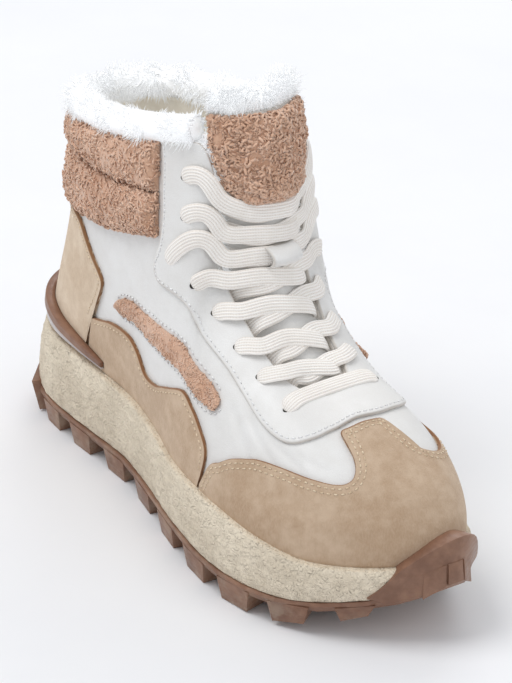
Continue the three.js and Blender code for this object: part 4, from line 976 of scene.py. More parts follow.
def build_pebble(nodes: Tree, given: dict[str, Socket]) -> Sequence[Socket]:
    """Cells with cracks between them, as in leather grain and crackled foam."""
    wide = nodes.math("MULTIPLY", given["Scale"], 0.6)
    warp = nodes.node("TexNoise", {"Vector": given["Vector"], "Scale": wide, "Detail": 2.0})
    shift = nodes.node("VectorMath", {0: warp.outputs["Color"], "Scale": given["Warp"]}, operation="SCALE")
    place = nodes.node("VectorMath", {0: given["Vector"], 1: shift.outputs[0]}, operation="ADD").outputs[0]
    cell = {"Vector": place, "Scale": given["Scale"]}
    edge = nodes.node("TexVoronoi", cell, feature="DISTANCE_TO_EDGE").outputs["Distance"]
    # The cracks' mask, used to paint shade into them.
    crack_shade = nodes.range(edge, 0.0, 0.16, 1.0, 0.0)
    dome = nodes.range(edge, 0.0, 0.4)
    tone = nodes.node("TexVoronoi", cell).outputs["Color"]
    return [dome, crack_shade, nodes.node("SeparateColor", {0: tone}).outputs[0]]


def build_mottle(nodes: Tree, given: dict[str, Socket]) -> Sequence[Socket]:
    """Soft uneven tone at two scales."""
    wide = nodes.noise(given["Vector"], given["Scale"], 2.0)
    fine = nodes.noise(given["Vector"], nodes.math("MULTIPLY", given["Scale"], 6.0), 3.0)
    both = nodes.math("ADD", nodes.math("MULTIPLY", wide, 0.65), nodes.math("MULTIPLY", fine, 0.35))
    return [nodes.range(both, 0.34, 0.66)]


def build_dust(nodes: Tree, given: dict[str, Socket]) -> Sequence[Socket]:
    """Dust that thins with height above the floor."""
    height = nodes.node("SeparateXYZ", {0: given["Vector"]}).outputs[2]
    fade = nodes.node("MapRange", {"Value": height, "From Min": given["Top"], "From Max": 0.0}).outputs[0]
    patch = nodes.range(nodes.noise(given["Vector"], 90.0, 4.0, 0.7), 0.42, 0.68)
    return [nodes.math("MULTIPLY", fade, patch)]


def build_nap(nodes: Tree, given: dict[str, Socket]) -> Sequence[Socket]:
    """Short brushed fibres: streaks and the patches that they lie in."""
    brushed = {"Vector": given["Vector"], "Rotation": (0.3, 0.5, 0.2), "Scale": (1.0, 1.0, 0.3)}
    lay = nodes.node("Mapping", brushed)
    fibre = nodes.noise(lay.outputs[0], nodes.math("MULTIPLY", given["Scale"], 10.0), 2.0, 0.7)
    patch = nodes.noise(given["Vector"], given["Scale"], 3.0, 0.6)
    height = nodes.math("ADD", fibre, nodes.math("MULTIPLY", patch, 0.5))
    return [height, nodes.range(patch, 0.38, 0.64), fibre]


class Effects:
    """The shared node groups, built once."""

    def __init__(self) -> None:
        """Builds every group."""
        self.pebble = group("pebble", {"Scale": 500.0, "Warp": 0.001}, ("Dome", "Crack", "Tone"),
                            build_pebble)
        self.mottle = group("mottle", {"Scale": 30.0}, ("Mask",), build_mottle)
        self.dust = group("dust", {"Top": 0.05}, ("Mask",), build_dust)
        self.nap = group("nap", {"Scale": 200.0}, ("Height", "Patch", "Fibre"), build_nap)


class Surfacing(Tree):
    """A material's tree, with its Object coordinates, shader and shared effects at hand."""

    def __init__(self, name: str, effects: Effects) -> None:
        """Starts a material.

        Args:
            name: The material's name.
            effects: The shared groups.
        """
        self.material = bpy.data.materials.new(name)
        self.material.use_nodes = True
        super().__init__(self.material.node_tree)
        self.effects = effects
        self.shader = self.tree.nodes["Principled BSDF"]
        self.place = self.node("TexCoord").outputs["Object"]

    def effect(self, tree: bpy.types.NodeTree, **values: float) -> dict[str, Socket]:
        """Places a shared group with its own values."""
        node = self.node("Group", node_tree=tree)
        self.tree.links.new(self.place, node.inputs["Vector"])
        for key, value in values.items():
            node.inputs[key].default_value = value
        return node.outputs

    def stretched(self, scale: tuple[float, float, float]) -> Socket:
        """Gives the Object coordinates, stretched."""
        return self.node("Mapping", {"Vector": self.place, "Scale": scale}).outputs[0]

    def bump(self, height: Socket, strength: float, depth: float, under: Socket | None = None) -> Socket:
        """Adds relief over what lies under it."""
        inputs = {"Height": height, "Strength": strength, "Distance": depth}
        if under is not None:
            inputs["Normal"] = under
        return self.node("Bump", inputs).outputs[0]

    def finish(self, constants: dict[str, object], **links: Socket) -> bpy.types.Material:
        """Sets the shader's constants and links, and gives the material."""
        for name, value in constants.items():
            self.shader.inputs[name].default_value = value
        for name, socket in links.items():
            self.tree.links.new(socket, self.shader.inputs[name.replace("_", " ")])
        return self.material


@dataclass(frozen=True)
class LeatherFinish:
    """Smooth off-white leather with a fine grain and shallow wrinkles, with faint painted shade in the
    grain's cracks.
    """

    name: str = "white_leather"
    light: tuple = paint(233, 232, 230)
    shade: tuple = paint(226, 224, 221)
    edge: tuple = paint(200, 192, 182)

    def build(self, effects: Effects) -> bpy.types.Material:
        """Makes the material."""
        s = Surfacing(self.name, effects)
        grain = s.effect(effects.pebble, Scale=1150.0, Warp=0.0006)
        tone = s.effect(effects.mottle, Scale=26.0)
        dust = s.effect(effects.dust, Top=0.075)
        wrinkle = s.noise(s.stretched((1.0, 1.6, 3.4)), 110.0, detail=4.0, rough=0.6)
        colour = s.blend(tone["Mask"], self.light, self.shade)
        # Painted shade: a little of the edge colour in the grain's cracks.
        colour = s.blend(s.math("MULTIPLY", grain["Crack"], 0.1), colour, self.edge)
        colour = s.blend(s.math("MULTIPLY", dust["Mask"], 0.14), colour, paint(176, 164, 148))
        colour = s.blend(s.math("MULTIPLY", s.value("rim"), 0.75), colour, self.edge)
        rough = s.range(tone["Mask"], 0.0, 1.0, 0.38, 0.5)
        normal = s.bump(wrinkle, strength=0.12, depth=0.001)
        normal = s.bump(grain["Dome"], strength=0.16, depth=0.00025, under=normal)
        return s.finish({"Coat Weight": 0.12, "Coat Roughness": 0.35, "Specular IOR Level": 0.45},
                        Base_Color=colour, Roughness=rough, Normal=normal)


@dataclass(frozen=True)
class SuedeFinish:
    """Brushed suede whose cut edge is darker."""

    name: str = "tan_suede"
    light: tuple = paint(205, 181, 156)
    shade: tuple = paint(179, 151, 124)
    cut: tuple = paint(140, 98, 66)

    def build(self, effects: Effects) -> bpy.types.Material:
        """Makes the material."""
        s = Surfacing(self.name, effects)
        nap = s.effect(effects.nap, Scale=170.0)
        tone = s.effect(effects.mottle, Scale=38.0)
        colour = s.blend(tone["Mask"], self.light, self.shade)
        colour = s.blend(s.math("MULTIPLY", nap["Patch"], 0.4), colour, self.shade)
        fleck = s.range(nap["Fibre"], 0.35, 0.7, 0.0, 0.35)
        colour = s.blend(fleck, colour, self.light)
        colour = s.blend(s.range(s.value("rim"), 0.2, 0.8), colour, self.cut)
        normal = s.bump(nap["Height"], strength=0.6, depth=0.0006)
        return s.finish({"Roughness": 0.96, "Sheen Weight": 0.35, "Sheen Roughness": 0.45,
                         "Sheen Tint": (1.0, 0.9, 0.78, 1.0), "Specular IOR Level": 0.2},
                        Base_Color=colour, Normal=normal)


@dataclass(frozen=True)
class FoamFinish:
    """Cream foam with a pebbled, crackled skin, with painted shade in its cracks and small pits."""

    name: str = "cream_foam"
    light: tuple = paint(240, 227, 205)
    shade: tuple = paint(222, 208, 186)
    crack_shade: tuple = paint(176, 160, 138)

    def build(self, effects: Effects) -> bpy.types.Material:
        """Makes the material."""
        s = Surfacing(self.name, effects)
        cells = s.effect(effects.pebble, Scale=560.0, Warp=0.0012)
        fine = s.effect(effects.pebble, Scale=1300.0, Warp=0.0006)
        pit_shade = s.range(s.noise(s.place, 420.0, 2.0), 0.62, 0.74)
        tone = s.effect(effects.mottle, Scale=34.0)
        dust = s.effect(effects.dust, Top=0.04)
        colour = s.blend(tone["Mask"], self.light, self.shade)
        colour = s.blend(s.math("MULTIPLY", cells["Tone"], 0.2), colour, self.shade)
        # Painted shade: darker colour in the cells' cracks and in small pits that have no relief.
        colour = s.blend(s.math("MULTIPLY", cells["Crack"], 0.1), colour, self.crack_shade)
        colour = s.blend(s.math("MULTIPLY", pit_shade, 0.15), colour, self.crack_shade)
        colour = s.blend(s.math("MULTIPLY", dust["Mask"], 0.4), colour, paint(150, 134, 110))
        lumps = s.noise(s.place, 300.0, 2.0, 0.5)
        normal = s.bump(lumps, strength=0.9, depth=0.0024)
        normal = s.bump(cells["Dome"], strength=0.55, depth=0.001, under=normal)
        normal = s.bump(fine["Dome"], strength=0.3, depth=0.0003, under=normal)
        return s.finish({"Roughness": 0.82, "Specular IOR Level": 0.3}, Base_Color=colour, Normal=normal)


@dataclass(frozen=True)
class GumFinish:
    """Satin brown rubber with scuffs and dust."""

    name: str = "gum_rubber"
    light: tuple = paint(147, 109, 86)
    shade: tuple = paint(118, 82, 62)

    def build(self, effects: Effects) -> bpy.types.Material:
        """Makes the material."""
        s = Surfacing(self.name, effects)
        tone = s.effect(effects.mottle, Scale=42.0)
        grain = s.effect(effects.pebble, Scale=1500.0, Warp=0.0005)
        dust = s.effect(effects.dust, Top=0.022)
        colour = s.blend(tone["Mask"], self.light, self.shade)
        colour = s.blend(s.math("MULTIPLY", dust["Mask"], 0.55), colour, paint(186, 168, 148))
        scuff = s.noise(s.stretched((1.0, 1.0, 5.0)), 160.0, detail=4.0, rough=0.7)
        rough = s.range(scuff, 0.35, 0.7, 0.42, 0.66)
        normal = s.bump(scuff, strength=0.1, depth=0.0005)
        normal = s.bump(grain["Dome"], strength=0.12, depth=0.0002, under=normal)
        return s.finish({"Specular IOR Level": 0.45, "Coat Weight": 0.2, "Coat Roughness": 0.28},
                        Base_Color=colour, Roughness=rough, Normal=normal)


@dataclass(frozen=True)
class PileFinish:
    """Pile of curls or strands with painted shade at their roots; its glow is painted light that stands for
    light scattered inside it.
    """

    name: str = "teddy"
    light: tuple = paint(238, 199, 172)
    shade: tuple = paint(217, 172, 142)
    deep: tuple = paint(172, 126, 98)
    sheen: float = 0.5
    glow: float = 0.0

    def build(self, effects: Effects) -> bpy.types.Material:
        """Makes the material."""
        s = Surfacing(self.name, effects)
        tone = s.effect(effects.mottle, Scale=60.0)
        nap = s.effect(effects.nap, Scale=420.0)
        colour = s.blend(tone["Mask"], self.light, self.shade)
        # Painted shade: the deep colour where the shade value is low, at the roots and in the hollows.
        colour = s.blend(s.range(s.value("shade"), 0.1, 0.75, 0.85, 0.0), colour, self.deep)
        colour = s.blend(s.math("MULTIPLY", nap["Fibre"], 0.3), colour, self.light)
        normal = s.bump(nap["Height"], strength=0.45, depth=0.0006)
        # Painted light: the glow's emission brightens the pile.
        return s.finish({"Roughness": 0.97, "Sheen Weight": self.sheen, "Sheen Roughness": 0.5,
                         "Specular IOR Level": 0.15, "Emission Color": (0.95, 0.98, 1.0, 1.0),
                         "Emission Strength": self.glow}, Base_Color=colour, Normal=normal)


@dataclass(frozen=True)
class LaceFinish:
    """Flat woven tape with ribs along it and fine picks across; painted shade lies in the grooves and a faint
    glow of painted light brightens it.
    """

    name: str = "cotton_tape"
    light: tuple = paint(252, 248, 243)
    shade: tuple = paint(229, 220, 210)
    ribs: float = 6.0
    picks: float = 1.1
    glow: float = 0.05

    def build(self, effects: Effects) -> bpy.types.Material:
        """Makes the material."""
        s = Surfacing(self.name, effects)
        ribs = s.math("SINE", s.math("MULTIPLY", s.value("across"), 2 * math.pi * self.ribs))
        picks = s.math("SINE", s.math("MULTIPLY", s.value("run"), 2 * math.pi / self.picks))
        crossed = s.math("MULTIPLY", ribs, picks)
        weave = s.math("ADD", s.math("MULTIPLY", ribs, 0.8), s.math("MULTIPLY", crossed, 0.2))
        fuzz = s.effect(effects.nap, Scale=600.0)
        tone = s.effect(effects.mottle, Scale=50.0)
        # Painted shade: the weave's low grooves take the darker colour.
        colour = s.blend(s.range(weave, -1.0, 0.1), self.shade, self.light)
        colour = s.blend(s.math("MULTIPLY", tone["Mask"], 0.3), colour, self.shade)
        normal = s.bump(weave, strength=0.55, depth=0.0004)
        normal = s.bump(fuzz["Height"], strength=0.2, depth=0.0003, under=normal)
        # Painted light: a faint glow of emission brightens the tape.
        return s.finish({"Roughness": 0.9, "Sheen Weight": 0.3, "Sheen Roughness": 0.5,
                         "Specular IOR Level": 0.2, "Emission Color": (1.0, 0.97, 0.94, 1.0),
                         "Emission Strength": self.glow}, Base_Color=colour, Normal=normal)


@dataclass(frozen=True)
class PlasticFinish:
    """Moulded plastic with a faint grain."""

    name: str = "clip_face"
    light: tuple = paint(196, 187, 184)
    shade: tuple = paint(178, 168, 166)
    rough: float = 0.38

    def build(self, effects: Effects) -> bpy.types.Material:
        """Makes the material."""
        s = Surfacing(self.name, effects)
        tone = s.effect(effects.mottle, Scale=50.0)
        grain = s.effect(effects.pebble, Scale=1800.0, Warp=0.0004)
        colour = s.blend(tone["Mask"], self.light, self.shade)
        normal = s.bump(grain["Dome"], strength=0.1, depth=0.00015)
        rough = s.range(tone["Mask"], 0.0, 1.0, self.rough, self.rough + 0.12)
        return s.finish({"Coat Weight": 0.15, "Coat Roughness": 0.3}, Base_Color=colour, Roughness=rough,
                        Normal=normal)


@dataclass(frozen=True)
class ThreadFinish:
    """Twisted sewing thread, with painted shade at the ends of each stitch where it goes into the leather."""

    name: str = "thread"
    light: tuple = paint(243, 243, 243)
    shade: tuple = paint(226, 225, 223)
    hole_shade: tuple = paint(140, 136, 134)

    def build(self, effects: Effects) -> bpy.types.Material:
        """Makes the material."""
        s = Surfacing(self.name, effects)
        twist = s.effect(effects.nap, Scale=900.0)
        colour = s.blend(twist["Patch"], self.light, self.shade)
        # Painted shade at the stitch ends, where the thread sinks into its holes.
        colour = s.blend(s.range(s.value("shade"), 0.55, 0.95), colour, self.hole_shade)
        normal = s.bump(twist["Height"], strength=0.4, depth=0.0002)
        return s.finish({"Roughness": 0.7, "Sheen Weight": 0.2}, Base_Color=colour, Normal=normal)


@dataclass(frozen=True)
class FloorFinish:
    """Pale matt backdrop."""

    name: str = "backdrop"
    light: tuple = paint(243, 243, 244)
    shade: tuple = paint(240, 240, 242)

    def build(self, effects: Effects) -> bpy.types.Material:
        """Makes the material."""
        s = Surfacing(self.name, effects)
        tone = s.effect(effects.mottle, Scale=3.0)
        return s.finish({"Roughness": 0.9, "Specular IOR Level": 0.1},
                        Base_Color=s.blend(tone["Mask"], self.light, self.shade))


class Finishes:
    """Every material of the shoe."""

    def __init__(self) -> None:
        """Builds the materials on shared effects."""
        effects = Effects()
        self.leather = LeatherFinish().build(effects)
        self.suede = SuedeFinish().build(effects)
        self.pale_suede = SuedeFinish("pale_suede", paint(226, 207, 184), paint(200, 176, 150),
                                      paint(140, 102, 70)).build(effects)
        self.foam = FoamFinish().build(effects)
        self.gum = GumFinish().build(effects)
        self.teddy = PileFinish().build(effects)
        # Painted light: the plush's glow brightens the white pile, and the cream fleece's glow stands for
        # light falling into the shoe.
        self.plush = PileFinish("plush", paint(253, 253, 253), paint(250, 250, 251), paint(238, 238, 240),
                                sheen=0.4, glow=0.22).build(effects)
        self.fleece = PileFinish("cream_fleece", paint(238, 230, 214), paint(224, 214, 196),
                                 paint(196, 182, 160), sheen=0.4, glow=0.1).build(effects)
        self.lace = LaceFinish().build(effects)
        self.clip = PlasticFinish().build(effects)
        self.thread = ThreadFinish().build(effects)
        self.tan_thread = ThreadFinish("tan_thread", paint(232, 214, 186), paint(206, 182, 150),
                                       paint(120, 92, 66)).build(effects)
        # Dark finish for the painted shade in the eyelet holes.
        self.hole = PlasticFinish("hole_shadow", paint(58, 50, 44), paint(44, 38, 34), 0.8).build(effects)
        self.floor = FloorFinish().build(effects)


# Sub-assemblies


@dataclass
class Upper:
    """The leather shell with its overlays."""

    finishes: Finishes
    around_cells: int = 320
    up_cells: int = 54
    panel_foot: float = 0.015
    lining_shade: float = 0.8

    def build(self) -> None:
        """Builds the shell, its fleece lining and the panels."""
        def wall(t: Array, k: Array, offset: Array) -> Array:
            """Places the shell round the whole shoe."""
            return LAST.point(t, k, offset)

        shell = slab("upper_shell", wall, Stops(self.around_cells), Stops(self.up_cells, 0.01, 0.012),
                     -WALL, 0.0, looped=True)
        publish(shell, self.finishes.leather, ["upper"])

        def fleece(points: Array) -> Array:
            """Gives the lining's curly relief, inwards."""
            return -0.9 * np.abs(ripple(points, 3.2, 5))

        def inside(t: Array, k: Array, offset: Array) -> Array:
            """Places the lining inside the shell."""
            points = LAST.face(t, mix(0.02, 0.985, k))
            return points + LAST.normal(t, mix(0.02, 0.985, k)) * (offset - 2.2)[..., None]

        lining = slab("fleece_lining", inside, Stops(300), Stops(70, 0.01, 0.01), 0.0, -1.6, looped=True,
                      relief=fleece)
        shaded(lining, self.lining_shade)
        publish(lining, self.finishes.fleece)
        self.foot_panel("toe_cap_suede", TOE_CAP_EDGE, 150, 40, self.finishes.suede, "toe_cap")
        self.foot_panel("side_suede_lateral", SIDE_PANEL_EDGE, 90, 24, self.finishes.suede,
                        "side_panel_lateral")
        self.foot_panel("side_suede_medial", SIDE_PANEL_EDGE.mirrored(), 90, 24,
                        self.finishes.suede, "side_panel_medial")
        counter = Table("foot around up", np.vstack([COUNTER_EDGE.rows, COUNTER_EDGE.behind().rows[-2::-1]]))
        self.foot_panel("heel_counter_suede", counter, 110, 40, self.finishes.pale_suede,
                        "heel_counter")
        self.eyestay()

    def foot_panel(self, name: str, table: Table, along: int, across: int,
                   finish: bpy.types.Material, node: str) -> None:
        """Builds a panel that stands on the feather.

        Args:
            name: The piece's name.
            table: Its upper outline.
            along: Cells along the outline.
            across: Cells up the panel.
            finish: Its material.
            node: The CAD node that it stands for.
        """
        def place(t: Array, k: Array, offset: Array) -> Array:
            """Places the panel on the wall."""
            around = mix(table.share("foot", t), table.share("around", t), k)
            return LAST.point(around, mix(self.panel_foot, table.share("up", t), k), offset)

        panel = slab(name, place, Stops(along, 0.006, 0.006), Stops(across, 0.01, 0.028))
        publish(panel, finish, [node])

    def eyestay(self) -> None:
        """Builds the eyestay round the throat and dark discs of painted shade in its punched holes."""
        table = EYESTAY_EDGE.through_toe()

        def place(t: Array, k: Array, offset: Array) -> Array:
            """Places the stay between its outer edge and the throat."""
            around = mix(table.share("around", t), table.share("inner", t), k)
            return LAST.point(around, mix(table.share("up", t), 1.0, k), offset)

        publish(slab("eyestay_leather", place, Stops(220, 0.002, 0.002), Stops(22, 0.05, 0.05)),
                self.finishes.leather, ["eyestay"])

        # Dark discs painted as the shade inside each punched hole.
        base, faces = template(hole_form)
        around = np.concatenate([EYELETS.values("around"), 1 - EYELETS.values("around")])
        up = np.tile(EYELETS.values("up"), 2)
        normal = LAST.normal(around, up)
        first = unit(np.cross(normal, np.array([0.0, 0.0, 1.0])))
        second = np.cross(normal, first)
        centre = LAST.point(around, up, OVERLAY + 0.12)
        points = centre[:, None] + sum(
            axis[:, None] * base[None, :, n : n + 1] for n, axis in enumerate((first, second, normal)))
        publish(copies("eyelet_hole_shadows", faces, points), self.finishes.hole)


@dataclass
class Seams:
    """Rows of stitches on the panels."""

    finishes: Finishes
    pitch: float = 3.0
    length: float = 2.2
    width: float = 0.8

    def row(self, around: Array, up: Array, inset: float, offset: float) -> tuple[Array, Array, Array]:
        """Lays one row beside a line on the wall.

        Args:
            around: The line's places.
            up: Its heights.
            inset: Millimetres to move it towards the collar.
            offset: Height over the wall.

        Returns:
            Centres, directions and normals of the stitches.
        """
        around, up = LAST.beside(around, up, inset)
        up = np.clip(up, 0.0, 0.995)
        centre, way, rows = spaced(LAST.point(around, up, offset), self.pitch)
        at = np.interp(rows, np.arange(len(around)), around)
        normal = LAST.normal(at, np.interp(rows, np.arange(len(up)), up))
        return centre, way, normal

    def lay(self, name: str, rows: Sequence[tuple[Array, Array, Array]], finish: bpy.types.Material,
            slot: Slot) -> None:
        """Joins rows of stitches into one piece."""
        centre, way, normal = (np.concatenate([row[n] for row in rows]) for n in range(3))
        base, faces = template(stitch_form)
        side = unit(np.cross(normal, way))
        sizes = ((way, self.length), (side, self.width), (normal, self.width))
        points = centre[:, None] + sum(
            axis[:, None] * base[None, :, n : n + 1] * size for n, (axis, size) in enumerate(sizes))
        # Shade value for the thread: 1 at both ends of a stitch, where painted shade goes, and 0 at its
        # middle.
        ends = np.broadcast_to(np.abs(base[:, 0]) * 2, (len(centre), len(base)))
        publish(copies(name, faces, points, ends), finish)

    def build(self) -> None:
        """Sews every panel."""
        t = np.linspace(0.004, 0.996, 900)
        over = OVERLAY + 0.3
        cap = (TOE_CAP_EDGE.share("around", t), TOE_CAP_EDGE.share("up", t))
        self.lay("toe_cap_stitches", [self.row(*cap, -2.0, over), self.row(*cap, -4.2, over)],
                 self.finishes.tan_thread, Slot.SUEDE)
        side_rows = []
        places = np.linspace(0.02, 0.93, 500)
        for table, inset in ((SIDE_PANEL_EDGE, -2.2), (SIDE_PANEL_EDGE.mirrored(), 2.2)):
            side_rows.append(self.row(table.share("around", places), table.share("up", places), inset, over))
        self.lay("side_panel_stitches", side_rows, self.finishes.tan_thread, Slot.SUEDE)
        places = np.linspace(0.1, 1.0, 500)
        counter = []
        for sign in (1, -1):
            line = (sign * COUNTER_EDGE.share("around", places), COUNTER_EDGE.share("up", places))
            counter.append(self.row(*line, 2.2 * sign, over))
        self.lay("heel_counter_stitches", counter, self.finishes.tan_thread, Slot.PALE_SUEDE)
        stay = EYESTAY_EDGE.through_toe()
        line = (stay.share("around", t), stay.share("up", t))
        rows = [self.row(*line, 1.9, over)]
        for band, out in ((INLAY_LINE, 1.0), (INLAY_LINE.mirrored(), -1.0)):
            places = np.linspace(0.04, 0.96, 300)
            for edge in (-1.0, 1.0):
                border = band.share("middle", places) + edge * band.share("half", places)
                rows.append(self.row(band.share("around", places), border, 2.0 * edge * out, 0.3))
        self.lay("eyestay_stitches", rows, self.finishes.thread, Slot.LEATHER)


@dataclass
class Fleece:
    """Teddy pads, inlays and the fleece's curls."""

    finishes: Finishes
    edge: float = 2.2
    crown: float = 3.6
    groove: float = 0.004
    end: float = 0.03
    ground_shade: float = 0.45
    root_sink: float = 0.4
    over_wall: float = 0.3
    inlay_height: float = 1.7
    inlay_end: float = 0.004
    tongue_crown: float = 5.8
    tongue_gap: float = 0.2
    top: float = 0.995

    def pile(self, name: str, surface: Surface, upper: Callable[[Array, Array], Array], count: int, seed: int,
             nodes: Sequence[str], cells: tuple[int, int], pad: bool, rims: tuple[float, float],
             curl: tuple[float, float] = (0.65, 1.2)) -> None:
        """Builds a fleece form with curls joined on it.

        Args:
            name: The piece's name.
            surface: Places points by the ways along and across and by offset.
            upper: Offset of its seen face.
            count: How many curls.
            seed: Chooses the pattern.
            nodes: CAD nodes that it stands for.
            cells: Cells along and across.
            pad: Whether it is a padded piece.
            rims: Shares of the two ways taken by the rounded rims.
            curl: Smallest and largest curl.
        """
        def relief(points: Array) -> Array:
            """Gives the fleece's lumps."""
            return curl[1] * (0.4 * ripple(points, 3.6, seed) + 0.3 * ripple(points, 8.0, seed + 1) - 0.2)

        body = slab(name, surface, Stops(cells[0], rims[0], rims[0]), Stops(cells[1], rims[1], rims[1]),
                    0.0, upper, relief=relief)
        shaded(body, self.ground_shade)
        rng = np.random.default_rng(seed)
        spill = rims if pad else (0.0, 0.0)
        wide_t = rng.uniform(-spill[0], 1 + spill[0], count)
        wide_k = rng.uniform(-spill[1], 1 + spill[1], count)
        t, k = np.clip(wide_t, 0.0, 1.0), np.clip(wide_k, 0.0, 1.0)
        beyond = (t != wide_t) | (k != wide_k)
        height = upper(t, k) * np.where(beyond, rng.uniform(0.3, 0.9, count), 1.0)
        roots = surface(t, k, height)
        normals = unit(surface(t, k, height + 1.0) - roots)
        outward = roots - surface(mix(0.5, t, 0.98), mix(0.5, k, 0.98), height)
        normals = np.where(beyond[:, None], unit(unit(outward) + 0.3 * normals), normals)
        roots = roots + normals * (relief(roots) - self.root_sink)[:, None]
        with_tufts(body, curls(name + "_curls", roots, normals, curl, seed + 2))
        piece = publish(body, self.finishes.teddy, nodes)

    def build(self) -> None:
        """Builds the collar pads, the inlays and the tongue's pad."""
        table = Table("around foot low groove",
                      np.vstack([PAD_LINES.behind().rows[:0:-1], PAD_LINES.rows]))

        def collar(low: Callable[[Array], Array], high: Callable[[Array], Array]) -> Surface:
            """Gives the surface of one collar pad."""
            def place(t: Array, k: Array, offset: Array) -> Array:
                """Places the pad between two lines on the shaft."""
                up = mix(low(t), high(t), k)
                base = table.share("low", t)
                share = (up - base) / (1 - base)
                around = mix(table.share("foot", t), table.share("around", t), share)
                return LAST.point(around, up, offset)
            return place

        def crowned(t: Array, k: Array) -> Array:
            """Gives the pad's bulge."""
            ends = np.minimum(1.0, (1 - np.abs(2 * t - 1)) / self.end)
            round_top = np.sqrt(np.clip(np.sin(math.pi * k), 0.0, 1.0)) * np.sqrt(np.clip(ends, 0.0, 1.0))
            return self.over_wall + self.edge + self.crown * round_top

        def foot_line(t: Array) -> Array:
            """Gives the lower pad's lower edge."""
            return table.share("low", t)

        def under_groove(t: Array) -> Array:
            """Gives the lower pad's upper edge."""
            return table.share("groove", t) - self.groove

        def over_groove(t: Array) -> Array:
            """Gives the upper pad's lower edge."""
            return table.share("groove", t) + self.groove

        def top_line(t: Array) -> Array:
            """Gives the upper pad's upper edge, just under the opening."""
            return self.top + 0 * t

        def banded(t: Array, k: Array) -> Array:
            """Gives an inlay's height, lower at its edges."""
            return self.over_wall + self.inlay_height * mix(0.6, 1.0, np.sin(math.pi * k))

        self.pile("collar_pad_lower_fleece", collar(foot_line, under_groove), crowned, 4400, 11,
                  ["collar_pad_lower"], (240, 44), True, (0.01, 0.06))
        self.pile("collar_pad_upper_fleece", collar(over_groove, top_line), crowned, 3000, 21,
                  ["collar_pad_upper"], (240, 30), True, (0.01, 0.08))
        bands = (("inlay_lateral", INLAY_LINE, 31), ("inlay_medial", INLAY_LINE.mirrored(), 41))
        for name, line, seed in bands:
            def inlay(t: Array, k: Array, offset: Array, line: Table = line) -> Array:
                """Places the band on the quarter."""
                half = np.maximum(self.inlay_end, line.share("half", t))
                up = line.share("middle", t) + (2 * k - 1) * half
                return LAST.point(line.share("around", t), up, offset)

            self.pile(name + "_fleece", inlay, banded, 1700, seed, [name], (120, 16), False, (0.01, 0.08),
                      (0.45, 0.8))

        def tongue_top(t: Array, k: Array, offset: Array) -> Array:
            """Places the pad on the tongue."""
            across = TONGUE_PAD_LINE.share("half", t) * (2 * k - 1)
            return TONGUE.point(TONGUE_PAD_LINE.share("along", t), across,
                                offset + TONGUE_FRONT + self.tongue_gap)

        def pad_crown(t: Array, k: Array) -> Array:
            """Gives the tongue pad's bulge."""
            round_top = np.sqrt(np.clip(np.sin(math.pi * k) * np.sin(math.pi * t), 0.0, 1.0))
            return self.edge + self.tongue_crown * round_top

        self.pile("tongue_pad_fleece", tongue_top, pad_crown, 2800, 51, ["tongue_pad"], (90, 70), True,
                  (0.03, 0.03), (0.8, 1.5))


